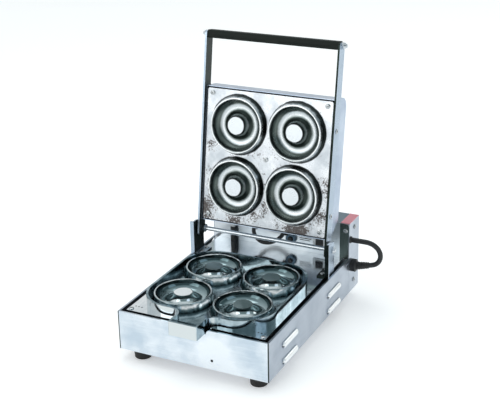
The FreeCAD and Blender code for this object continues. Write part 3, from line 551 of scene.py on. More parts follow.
@dataclass(frozen=True)
class Moulded(Finish):
    """Moulded plastic or rubber: a fine spark-eroded grain and a little rubbed-in dust."""

    body: str = "#17191a"
    dust: str = "#3a3d3e"
    roughness: float = 0.45
    grain_mm: float = 0.7
    relief: float = 0.12
    dusting: float = 0.35
    coat: float = 0.0
    specular: float = 0.5

    def make(self) -> bpy.types.Material:
        """Build the moulding.

        Returns:
            The material.
        """
        material, tree, where = self.start()
        grain = add(tree, "ShaderNodeTexNoise", {
            "Vector": where, "Scale": per_mm(self.grain_mm), "Detail": 2.0})
        wear = add(tree, "ShaderNodeTexNoise", {
            "Vector": where, "Scale": per_mm(11.0), "Detail": 5.0, "Roughness": 0.6})
        amount = add(tree, "ShaderNodeMapRange", {
            "Value": wear, "From Min": 0.42, "From Max": 0.75,
            "To Max": self.dusting})
        colour = add(tree, "ShaderNodeMix", {
            0: amount, 6: self.body, 7: self.dust}, data_type="RGBA")
        rough = add(tree, "ShaderNodeMapRange", {
            "Value": wear, "From Min": 0.3, "From Max": 0.7,
            "To Min": self.roughness - 0.05, "To Max": self.roughness + 0.1})
        relief = add(tree, "ShaderNodeBump", {
            "Height": grain, "Strength": self.relief, "Distance": 0.0002})
        return self.close(material, {
            "Base Color": colour, "Roughness": rough, "Normal": relief, "Coat Weight": self.coat,
            "Specular IOR Level": self.specular})


@dataclass(frozen=True)
class Plated(Finish):
    """Bright nickel plate on turned steel: mirror-like, with hair scratches."""

    light: str = "#dfe3e6"
    shade: str = "#a9b1b8"
    roughness: float = 0.1

    def make(self) -> bpy.types.Material:
        """Build the plating.

        Returns:
            The material.
        """
        material, tree, where = self.start()
        hairs = add(tree, "ShaderNodeTexNoise", {
            "Vector": where, "Scale": per_mm(3.2), "Detail": 6.0, "Roughness": 0.7})
        colour = add(tree, "ShaderNodeMix", {
            0: hairs, 6: self.shade, 7: self.light}, data_type="RGBA")
        rough = add(tree, "ShaderNodeMapRange", {
            "Value": hairs, "From Min": 0.35, "From Max": 0.65,
            "To Min": self.roughness, "To Max": self.roughness + 0.14})
        return self.close(material, {"Base Color": colour, "Roughness": rough, "Metallic": 1.0})


@dataclass(frozen=True)
class PressedWool(Finish):
    """Pressed mineral wool: short pale fibres with no shine."""

    body: str = "#cfc8b4"
    fibre: str = "#9d9580"

    def make(self) -> bpy.types.Material:
        """Build the pad.

        Returns:
            The material.
        """
        material, tree, where = self.start()
        fibres = add(tree, "ShaderNodeTexNoise", {
            "Vector": where, "Scale": per_mm(1.5), "Detail": 6.0, "Roughness": 0.75})
        colour = add(tree, "ShaderNodeMix", {
            0: fibres, 6: self.fibre, 7: self.body}, data_type="RGBA")
        relief = add(tree, "ShaderNodeBump", {
            "Height": fibres, "Strength": 0.6, "Distance": 0.0008})
        return self.close(material, {"Base Color": colour, "Normal": relief, "Roughness": 0.95})


@dataclass(frozen=True)
class LampLens(Finish):
    """Clear amber plastic over a lamp that is off."""

    body: str = "#d9701c"
    deep: str = "#8a2f0c"

    def make(self) -> bpy.types.Material:
        """Build the lens.

        Returns:
            The material.
        """
        material, tree, where = self.start()
        flutes = add(tree, "ShaderNodeTexWave", {
            "Vector": where, "Scale": per_mm(9.0), "Distortion": 0.4})
        colour = add(tree, "ShaderNodeMix", {
            0: flutes.outputs["Fac"], 6: self.deep, 7: self.body}, data_type="RGBA")
        relief = add(tree, "ShaderNodeBump", {
            "Height": flutes.outputs["Fac"], "Strength": 0.3, "Distance": 0.0004})
        return self.close(material, {
            "Base Color": colour, "Normal": relief, "Roughness": 0.12, "Coat Weight": 0.6})


@dataclass(frozen=True)
class StudioFloor(Finish):
    """Seamless pale paper, lit a little from below."""

    body: str = "#f6f6f6"
    glow: float = 0.32

    def make(self) -> bpy.types.Material:
        """Build the paper.

        Returns:
            The material.
        """
        material, tree, where = self.start()
        tooth = add(tree, "ShaderNodeTexNoise", {"Vector": where, "Scale": per_mm(4.0)})
        colour = add(tree, "ShaderNodeMix", {
            0: tooth, 6: "#f0f0ef", 7: self.body}, data_type="RGBA")
        return self.close(material, {
            "Base Color": colour, "Roughness": 0.85, "Emission Color": "#ffffff",
            "Emission Strength": self.glow})


# ---- repeated pieces -----------------------------------------------------------------
def new_tree(name: str, sockets: Iterable[Tuple[str, str, float]]) -> Tuple[
        bpy.types.NodeTree, bpy.types.Node, Dict[str, str]]:
    """Start a geometry tree with named inputs.

    Args:
        name: The tree's name.
        sockets: Each input's name, its socket type and its default.

    Returns:
        The tree, its group input and each input's identifier by name.
    """
    tree = bpy.data.node_groups.new(name, "GeometryNodeTree")
    face = tree.interface
    face.new_socket("Geometry", in_out="INPUT", socket_type="NodeSocketGeometry")
    keys = {}
    for label, kind, default in sockets:
        socket = face.new_socket(label, in_out="INPUT", socket_type=kind)
        socket.default_value = default
        keys[label] = socket.identifier
    stuff = face.new_socket("Material", in_out="INPUT", socket_type="NodeSocketMaterial")
    keys["Material"] = stuff.identifier
    face.new_socket("Geometry", in_out="OUTPUT", socket_type="NodeSocketGeometry")
    return tree, add(tree, "NodeGroupInput"), keys


def aimed(tree: bpy.types.NodeTree) -> bpy.types.Node:
    """Turn the Z axis to the way in which each point looks."""
    facing = add(tree, "GeometryNodeInputNamedAttribute", {"Name": "facing"},
                 data_type="FLOAT_VECTOR")
    return add(tree, "FunctionNodeAlignRotationToVector", {"Vector": facing}, axis="Z")


def close_tree(tree: bpy.types.NodeTree, given: bpy.types.Node, piece: bpy.types.Node,
               turn: bpy.types.Node) -> None:
    """End a geometry tree with its piece on every point.

    Args:
        tree: The geometry tree.
        given: Its group input.
        piece: The node that gives the piece.
        turn: The node that gives each piece's rotation.
    """
    sets = add(tree, "GeometryNodeInstanceOnPoints", {
        "Points": given.outputs["Geometry"], "Instance": piece, "Rotation": turn})
    real = add(tree, "GeometryNodeRealizeInstances", {0: sets})
    dressed = add(tree, "GeometryNodeSetMaterial", {
        "Geometry": real, "Material": given.outputs["Material"]})
    add(tree, "NodeGroupOutput", {0: dressed})


def facing_points(name: str, spots: Sequence[Vector], ways: Sequence[Vector]) -> bpy.types.Mesh:
    """Make a mesh of loose points, each with the way in which it looks.

    Args:
        name: The mesh's name.
        spots: Where the points are.
        ways: The way in which each one looks.

    Returns:
        The mesh.
    """
    points = bpy.data.meshes.new(name)
    points.from_pydata(list(spots), [], [])
    facing = points.attributes.new("facing", "FLOAT_VECTOR", "POINT")
    for item, way in zip(facing.data, ways):
        item.vector = way
    return points


def grow(name: str, points: bpy.types.Mesh, tree: bpy.types.NodeTree, keys: Dict[str, str],
         values: Dict[str, Any]) -> bpy.types.Object:
    """Run a geometry tree on some points and keep only the mesh that it makes.

    Args:
        name: The finished piece's name.
        points: The mesh that the tree starts from.
        tree: The geometry tree.
        keys: Each input's identifier by name.
        values: Each input's value by name.

    Returns:
        The finished piece, with no modifier.
    """
    seed = place(name + "_points", points)
    modifier = seed.modifiers.new("grow", "NODES")
    modifier.node_group = tree
    for label, value in values.items():
        modifier[keys[label]] = value
    mesh = evaluated_mesh(seed, name)
    bpy.data.objects.remove(seed)
    mesh.shade_smooth()
    mesh.set_sharp_from_angle(angle=math.radians(32))
    return place(name, mesh)


@dataclass
class ScrewTree:
    """Pan-head screw heads set on points, each turned its own way."""

    cuts: int = 2                   # blades that cross in the drive
    seed: int = 7
    tree: Any = None
    keys: Dict[str, str] = field(default_factory=dict)

    def build(self) -> "ScrewTree":
        """Make the tree: a domed disc less its recess, instanced and realised.

        Returns:
            The same object, ready for use.
        """
        tree, given, keys = new_tree("cross_head_screws", [
            ("Head Radius", "NodeSocketFloat", 0.0038), ("Head Height", "NodeSocketFloat", 0.0018),
            ("Seed", "NodeSocketInt", self.seed)])
        radius, height = given.outputs["Head Radius"], given.outputs["Head Height"]
        disc = add(tree, "GeometryNodeMeshCylinder", {
            "Vertices": 28, "Side Segments": 3, "Fill Segments": 5, "Radius": radius,
            "Depth": height})
        spot = add(tree, "GeometryNodeInputPosition")
        parts = add(tree, "ShaderNodeSeparateXYZ", {0: spot})
        level = add(tree, "ShaderNodeCombineXYZ", {0: parts.outputs[0], 1: parts.outputs[1]})
        reach = add(tree, "ShaderNodeVectorMath", {0: level}, operation="LENGTH")
        share = add(tree, "ShaderNodeMath", {0: reach, 1: radius}, operation="DIVIDE")
        steep = add(tree, "ShaderNodeMath", {0: share, 1: 3.0}, operation="POWER")
        top = add(tree, "ShaderNodeMath", {0: parts.outputs[2], 1: 0.0}, operation="GREATER_THAN")
        fall = add(tree, "ShaderNodeMath", {0: steep, 1: -0.42}, operation="MULTIPLY")
        drop = add(tree, "ShaderNodeMath", {0: fall, 1: height}, operation="MULTIPLY")
        lower = add(tree, "ShaderNodeMath", {0: drop, 1: top}, operation="MULTIPLY")
        half = add(tree, "ShaderNodeMath", {0: height, 1: 0.5}, operation="MULTIPLY")
        rise = add(tree, "ShaderNodeMath", {0: lower, 1: half})
        shift = add(tree, "ShaderNodeCombineXYZ", {2: rise})
        dome = add(tree, "GeometryNodeSetPosition", {"Geometry": disc, "Offset": shift})
        across = add(tree, "ShaderNodeMath", {0: radius, 1: 1.25}, operation="MULTIPLY")
        narrow = add(tree, "ShaderNodeMath", {0: radius, 1: 0.26}, operation="MULTIPLY")
        size = add(tree, "ShaderNodeCombineXYZ", {0: across, 1: narrow, 2: height})
        cut = add(tree, "GeometryNodeMeshCube", {"Size": size})
        up = add(tree, "ShaderNodeCombineXYZ", {2: height})
        solid = dome
        for step in range(self.cuts):
            blade = add(tree, "GeometryNodeTransform", {
                "Geometry": cut, "Translation": up,
                "Rotation": (0.0, 0.0, step * math.pi / 2)})
            solid = add(tree, "GeometryNodeMeshBoolean", {0: solid, 1: blade},
                        operation="DIFFERENCE")
        chance = add(tree, "FunctionNodeRandomValue", {
            "Max": math.pi, "Seed": given.outputs["Seed"]}, data_type="FLOAT")
        twist = add(tree, "ShaderNodeCombineXYZ", {2: chance})
        spun = add(tree, "FunctionNodeRotateRotation", {
            "Rotation": aimed(tree), "Rotate By": twist}, rotation_space="LOCAL")
        close_tree(tree, given, solid, spun)
        self.tree, self.keys = tree, keys
        return self


@dataclass
class ScrewSet:
    """The screw heads of one CAD node."""

    node: str
    body: str
    slot: str
    outward: Callable[[Vector], Vector]
    head_height: float = 0.0018

    def build(self, kind: ScrewTree, metal: bpy.types.Material) -> bpy.types.Object:
        """Find each CAD screw's head and grow a detailed one in its place.

        Args:
            kind: The tree that makes the heads.
            metal: The screws' material.

        Returns:
            One piece that holds every head of the set.
        """
        seats, ways, radius = [], [], 0.0
        for group in islands(self.node):
            middle = sum(group, Vector()) / len(group)
            way = self.outward(middle).normalized()
            top = max(p.dot(way) for p in group)
            rim = [p for p in group if p.dot(way) > top - self.head_height * 1.02]
            centre = sum(rim, Vector()) / len(rim)
            flat = [(p - centre) - way * (p - centre).dot(way) for p in rim]
            span = Vector([(max(f[i] for f in flat) + min(f[i] for f in flat)) / 2
                           for i in range(3)])
            radius = max(radius, max((f - span).length for f in flat))
            centre = centre + span
            seats.append(centre + way * (top - self.head_height - centre.dot(way)))
            ways.append(way)
        points = facing_points(self.node + "_seats", seats, ways)
        piece = grow(self.node + "_heads", points, kind.tree, kind.keys, {
            "Head Radius": radius, "Head Height": self.head_height,
            "Seed": kind.seed, "Material": metal})
        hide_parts(self.node)
        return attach(piece, self.body)


@dataclass
class RibTree:
    """Half-round ribs laid round a line, as on a gland nut or a control knob."""

    tree: Any = None
    keys: Dict[str, str] = field(default_factory=dict)

    def build(self) -> "RibTree":
        """Make the tree: one rod on each point of a ring, then turned to the line.

        Returns:
            The same object, ready for use.
        """
        tree, given, keys = new_tree("ribs_round_a_line", [
            ("Count", "NodeSocketInt", 16), ("Ring Radius", "NodeSocketFloat", 0.01),
            ("Rib Radius", "NodeSocketFloat", 0.001), ("Rib Length", "NodeSocketFloat", 0.006)])
        ring = add(tree, "GeometryNodeMeshCircle", {
            "Vertices": given.outputs["Count"], "Radius": given.outputs["Ring Radius"]})
        rod = add(tree, "GeometryNodeMeshCylinder", {
            "Vertices": 10, "Radius": given.outputs["Rib Radius"],
            "Depth": given.outputs["Rib Length"]})
        rods = add(tree, "GeometryNodeInstanceOnPoints", {"Points": ring, "Instance": rod})
        whole = add(tree, "GeometryNodeRealizeInstances", {0: rods})
        close_tree(tree, given, whole, aimed(tree))
        self.tree, self.keys = tree, keys
        return self

    def ring(self, name: str, centres: Sequence[Vector], along: Vector, values: Dict[str, Any]
             ) -> bpy.types.Object:
        """Lay one ring of ribs at each centre.

        Args:
            name: The piece's name.
            centres: The middle of each ring.
            along: The line that the ribs run along.
            values: The tree's inputs by name.

        Returns:
            The finished piece.
        """
        points = facing_points(name + "_centres", centres, [along] * len(centres))
        return grow(name, points, self.tree, self.keys, values)


# ---- sub-assemblies ------------------------------------------------------------------
@dataclass
class Dresser:
    """Puts finishes on CAD nodes and on the pieces that stand for them."""

    nodes: Dict[str, bpy.types.Object]
    slots: Dict[str, str]
    bodies: Dict[str, str]
    made: List[str] = field(default_factory=list)

    def paint(self, material: bpy.types.Material, *names: str) -> None:
        """Give CAD nodes a material.

        Args:
            material: The material.
            *names: The nodes.
        """
        for name in names:
            for place_for in self.nodes[name].material_slots:
                place_for.material = material
            LOG.info("painted %s with %s", name, material.name)

    def stand_in(self, piece: bpy.types.Object, node: str,
                 material: Optional[bpy.types.Material] = None) -> bpy.types.Object:
        """Let a piece stand for a CAD node.

        Args:
            piece: The finished piece.
            node: The CAD node that it stands for.
            material: Its material, or None to leave what it has.

        Returns:
            The piece.
        """
        if material is not None:
            piece.data.materials.clear()
            piece.data.materials.append(material)
        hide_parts(node)
        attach(piece, self.bodies[node])
        self.made.append(piece.name)
        LOG.info("built %s for %s", piece.name, node)
        return piece

    def soften(self, node: str, width_mm: float, material: bpy.types.Material,
               segments: int = 2) -> bpy.types.Object:
        """Replace a CAD node by a copy of itself with broken edges."""
        return self.stand_in(softened(node, width_mm, segments=segments), node, material)

    def extra(self, piece: bpy.types.Object, body: str,
              material: bpy.types.Material) -> bpy.types.Object:
        """Add a piece that no CAD node holds.

        Args:
            piece: The piece.
            body: The body that carries it.
            material: Its material.

        Returns:
            The piece.
        """
        piece.data.materials.clear()
        piece.data.materials.append(material)
        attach(piece, body)
        self.made.append(piece.name)
        LOG.info("added %s", piece.name)
        return piece


@dataclass
class Lead:
    """The supply lead that loops out of the control box, with its gland and bend relief."""

    radius: float = 0.004
    box_front_y: float = 0.133
    side_x: float = 0.120
    gland_height: float = 0.0635
    gland_setback: float = 0.0135
    gland_length: float = 0.009
    bends_mm: Tuple[Tuple[float, float, float], ...] = (
        (28.0, 16.0, 3.1),
        (36.55, 17.125, 4.495),
        (43.3, 17.9, 10.1),
        (46.6, 17.9, 18.7),
        (45.6, 16.6, 28.7),
        (40.0, 14.4, 37.9),
        (30.0, 10.6, 44.7),
        (14.4, 6.2, 46.5),
        (0.0, 6.2, 46.5),
    )
    length: float = 0.090
    relief_steps: int = 5
    relief_radius: float = 0.0066

    def route(self) -> List[Vector]:
        """Give the lead's control points from the relief to the side panel."""
        return [Vector((self.side_x + out * MM, self.box_front_y + back * MM,
                        self.gland_height + up * MM)) for out, back, up in self.bends_mm]

    def build(self, dresser: Dresser, sheath: bpy.types.Material, rubber: bpy.types.Material,
              ribs: RibTree) -> None:
        """Build the lead, its relief, its gland and the grommet where it goes back in.

        Args:
            dresser: Puts the pieces on their bodies.
            sheath: The lead's material.
            rubber: The relief's and gland's material.
            ribs: The tree that makes the gland's ribs.
        """
        route = self.route()
        lead = smooth_cord("supply_lead", route, self.radius, sheath)
        start = Vector((self.side_x + self.gland_length, self.box_front_y + self.gland_setback,
                        self.gland_height))
        along = route[0] - start
        reach = along.length
        profile: List[Tuple[float, float]] = [(0.0, self.relief_radius)]
        for step in range(self.relief_steps):
            low = reach * (step + 0.25) / self.relief_steps
            high = reach * (step + 0.75) / self.relief_steps
            wide = self.relief_radius - 0.0014 * (low / reach)
            profile += [(low, wide), (low + 0.0003, wide - 0.0008), (high - 0.0003, wide - 0.0009),
                        (high, wide - 0.0001)]
        profile += [(reach - 0.0006, 0.0052), (reach, 0.0047)]
        relief = turned("bend_relief_ribbed", profile, start, along)
        dresser.stand_in(relief, "bend_relief", rubber)
        gland_start = Vector((self.side_x, start.y, start.z))
        body = turned("gland_body", [
            (-0.010, 0.0066), (-0.0002, 0.0066), (0.0, 0.0101), (0.0016, 0.0104), (0.0020, 0.0098),
            (0.0076, 0.0094), (0.0086, 0.0084), (0.0092, 0.0068)], gland_start, Vector((1, 0, 0)))
        dresser.stand_in(body, "lead_gland", rubber)
        grips = ribs.ring("gland_ribs", [gland_start + Vector((0.0048, 0, 0))],
                          Vector((1, 0, 0)), {
                              "Count": 18, "Ring Radius": 0.0094, "Rib Radius": 0.0008,
                              "Rib Length": 0.0052, "Material": rubber})
        dresser.extra(grips, "base", rubber)
        grommet = turned("lead_grommet", [
            (0.0, 0.0054), (0.0008, 0.0057), (0.0016, 0.0052), (0.0022, 0.0043)],
            Vector((self.side_x, route[-1].y, route[-1].z)), Vector((1, 0, 0)))
        dresser.extra(grommet, "base", rubber)
        dresser.stand_in(lead, "heater_lead")


@dataclass
class InnerLead:
    """The sheathed wire that arches out of the box's front and back into it."""

    radius: float = 0.0032
    box_front_y: float = 0.133
    deck_height: float = 0.079
    bends_mm: Tuple[Tuple[float, float, float], ...] = (
        (-42.0, 0.0, 30.0),
        (-42.0, 8.6, 30.0),
        (-38.8, 16.4, 25.6),
        (-31.2, 21.8, 18.4),
        (-20.4, 24.2, 14.0),
        (-8.4, 23.2, 14.4),
        (2.2, 20.2, 18.6),
        (9.0, 15.2, 24.6),
        (10.0, 8.2, 28.0),
        (10.0, 0.0, 28.0),
    )
    length: float = 0.090

    def build(self, dresser: Dresser, sheath: bpy.types.Material,
              rubber: bpy.types.Material) -> None:
        """Build the arch and its two grommets.

        Args:
            dresser: Puts the pieces on their bodies.
            sheath: The wire's material.
            rubber: The grommets' material.
        """
        route = [Vector((x * MM, self.box_front_y - ahead * MM, self.deck_height + up * MM))
                 for x, ahead, up in self.bends_mm]
        arch = smooth_cord("inner_lead_arch", route, self.radius, sheath)
        for name, end in (("left", route[0]), ("right", route[-1])):
            grommet = turned("inner_grommet_" + name, [
                (0.0, 0.0058), (0.001, 0.0062), (0.002, 0.0055), (0.0026, 0.0038)],
                end, Vector((0, -1, 0)))
            dresser.extra(grommet, "base", rubber)
        dresser.stand_in(arch, "inner_lead")


def smooth_cord(name: str, route: Sequence[Vector], radius: float,
                sheath: bpy.types.Material) -> bpy.types.Object:
    """Lay a round cord on one smooth line.

    Args:
        name: The cord's name.
        route: The line's control points.
        radius: The cord's radius.
        sheath: The cord's material.

    Returns:
        The cord, as a curve.
    """
    curve = bpy.data.curves.new(name, "CURVE")
    curve.dimensions = "3D"
    spline = curve.splines.new("NURBS")
    spline.points.add(len(route) - 1)
    for point, spot in zip(spline.points, route):
        point.co = (spot.x, spot.y, spot.z, 1.0)
    spline.order_u = 3
    spline.use_endpoint_u = True
    spline.resolution_u = 12
    curve.bevel_depth = radius
    curve.bevel_resolution = 6
    curve.use_fill_caps = True
    curve.materials.append(sheath)
    cord = bpy.data.objects.new(name, curve)
    bpy.context.scene.collection.objects.link(cord)
    return cord


@dataclass
class SubAssembly:
    """A group of CAD nodes: some get broken edges and a finish, the rest only a finish."""

    softened: Edges = ()
    painted: Paints = ()
    rounded: Tuple[str, ...] = ()       # nodes whose edges take a third step

    def dress(self, dresser: Dresser, shop: "Finishes") -> None:
        """Finish the group's CAD nodes.

        Args:
            dresser: Paints nodes and places their stand-ins.
            shop: The materials.
        """
        for finish, width_mm, nodes in self.softened:
            for node in nodes:
                dresser.soften(node, width_mm, getattr(shop, finish),
                               segments=3 if node in self.rounded else 2)
        for finish, nodes in self.painted:
            dresser.paint(getattr(shop, finish), *nodes)


@dataclass
class BaseShell(SubAssembly):
    """The stainless base: panels, deck, liner, bottom and feet."""

    edge_mm: float = 0.35
    softened: Edges = (
        ("side_sheet", 0.25, ("side_panel_left", "side_panel_right")),
        ("deck_sheet", 0.35, ("deck",)),
        ("foot_rubber", 0.6, ("foot_front_left", "foot_front_right", "foot_rear_left",
                              "foot_rear_right")))
    painted: Paints = (
        ("side_sheet", ("bottom_plate",)), ("dark_sheet", ("inner_liner",)))

    def dress(self, dresser: Dresser, shop: "Finishes") -> None:
        """Finish the base; the front panel keeps its fine faces, which hold it flat.

        Args:
            dresser: Paints nodes and places their stand-ins.
            shop: The materials.
        """
        panel = softened("front_panel", self.edge_mm, dissolve=False)
        dresser.stand_in(panel, "front_panel", shop.front_sheet)
        super().dress(dresser, shop)


@dataclass
class LowerCasting(SubAssembly):
    """The lower plate with its element, clamp and insulation."""

    softened: Edges = (("lower_cast", 0.9, ("lower_plate",)),)
    painted: Paints = (("element", ("lower_heater", "lower_clamp")),
                       ("wool", ("lower_insulation",)))
    rounded: Tuple[str, ...] = ("lower_plate",)


@dataclass
class Hinge(SubAssembly):
    """The rod, its collars and nuts, and the two brackets on the deck."""

    softened: Edges = (("left_bar", 0.4, ("hinge_bracket_left",)),
                       ("right_bar", 0.4, ("hinge_bracket_right",)))
    painted: Paints = (("plate_bright", ("hinge_rod", "hinge_collars", "hinge_nuts")),)


@dataclass
class Lid(SubAssembly):
    """The upper plate in its casing, the arms and the handle."""

    softened: Edges = (
        ("upper_cast", 0.6, ("upper_plate",)), ("casing_sheet", 0.4, ("lid_casing",)),
        ("left_bar", 0.6, ("arm_left",)), ("right_bar", 0.6, ("arm_right",)),
        ("handle", 0.8, ("handle_grip",)))
    painted: Paints = (
        ("dark_sheet", ("lid_rails",)), ("element", ("upper_heater", "upper_clamp")),
        ("wool", ("upper_insulation",)), ("plate_bright", ("handle_stud", "handle_nuts")))
    rounded: Tuple[str, ...] = ("upper_plate", "handle_grip")


@dataclass
class ControlBox(SubAssembly):
    """The box across the back with its switch, reset fitting, dials and lamps."""

    softened: Edges = (
        ("box_sheet", 0.3, ("box_front",)),
        ("side_sheet", 0.35, ("box_cover", "box_side_left", "box_side_right")),
        ("cap_sheet", 0.35, ("end_cap",)), ("strip", 0.3, ("end_strip",)),
        ("white", 0.35, ("switch_bezel",)), ("black", 0.35, ("switch_rocker",)),
        ("aged_metal", 0.4, ("reset_bush",)), ("black", 0.4, ("knob_lower", "knob_upper")),
        ("white", 0.3, ("terminal_block",)), ("black", 0.5, ("wire_guard",)),
        # painted highlight: the wire guard's cap is white
        ("white", 0.5, ("wire_guard_cap",)))
    painted: Paints = (
        ("side_sheet", ("box_bottom",)), ("lens", ("pilot_lamps",)),
        ("black", ("reset_button", "thermostat_lower", "thermostat_upper")))
    mark_count: int = 3
    mark_width: float = 0.0205
    mark_height: float = 0.0011
    mark_gap: float = 0.0031
    mark_middle: Tuple[float, float] = (0.0455, 0.1015)
    rib_setback: float = 0.0118         # middle of the dials' ribs behind their faces

    def build(self, dresser: Dresser, shop: "Finishes", ribs: RibTree) -> None:
        """Finish the box and add what no CAD node holds.

        Args:
            dresser: Paints nodes and places their stand-ins.
            shop: The materials.
            ribs: The tree that makes the dials' ribs.
        """
        self.dress(dresser, shop)
        self.add_marks(dresser, shop)
        self.add_dial_ribs(dresser, shop, ribs)

    def add_marks(self, dresser: Dresser, shop: "Finishes") -> None:
        """Add three plain printed bars beside the switch, with no lettering.

        Args:
            dresser: Puts the piece on its body.
            shop: The materials.
        """
        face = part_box("box_front")[0].y
        bm = bmesh.new()
        x0 = self.mark_middle[0] - self.mark_width / 2
        for step in range(self.mark_count):
            z = self.mark_middle[1] + (step - (self.mark_count - 1) / 2) * self.mark_gap
            made = bmesh.ops.create_cube(bm, size=1.0)["verts"]
            wide = self.mark_width * (1.0 - 0.12 * (step == 0))
            bmesh.ops.scale(bm, vec=(wide, 0.0003, self.mark_height), verts=made)
            bmesh.ops.translate(bm, vec=(x0 + wide / 2, face - 0.0001, z), verts=made)
        mesh = bpy.data.meshes.new("printed_bars")
        bm.to_mesh(mesh)
        bm.free()
        dresser.extra(place("printed_bars", mesh), "base", shop.black)

    def add_dial_ribs(self, dresser: Dresser, shop: "Finishes", ribs: RibTree) -> None:
        """Add fine ribs round each dial's skirt.

        Args:
            dresser: Puts the pieces on their bodies.
            shop: The materials.
            ribs: The tree that makes the ribs.
        """
        for name, body in (("knob_lower", "dial_lower"), ("knob_upper", "dial_upper")):
            low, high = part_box(name)
            middle = Vector(((low.x + high.x) / 2, high.y - self.rib_setback, (low.z + high.z) / 2))
            radius = (high.x - low.x) / 2 - 0.0005
            piece = ribs.ring(name + "_ribs", [middle], Vector((0, 1, 0)), {
                "Count": 40, "Ring Radius": radius, "Rib Radius": 0.0005, "Rib Length": 0.0024,
                "Material": shop.black})
            dresser.extra(piece, body, shop.black)


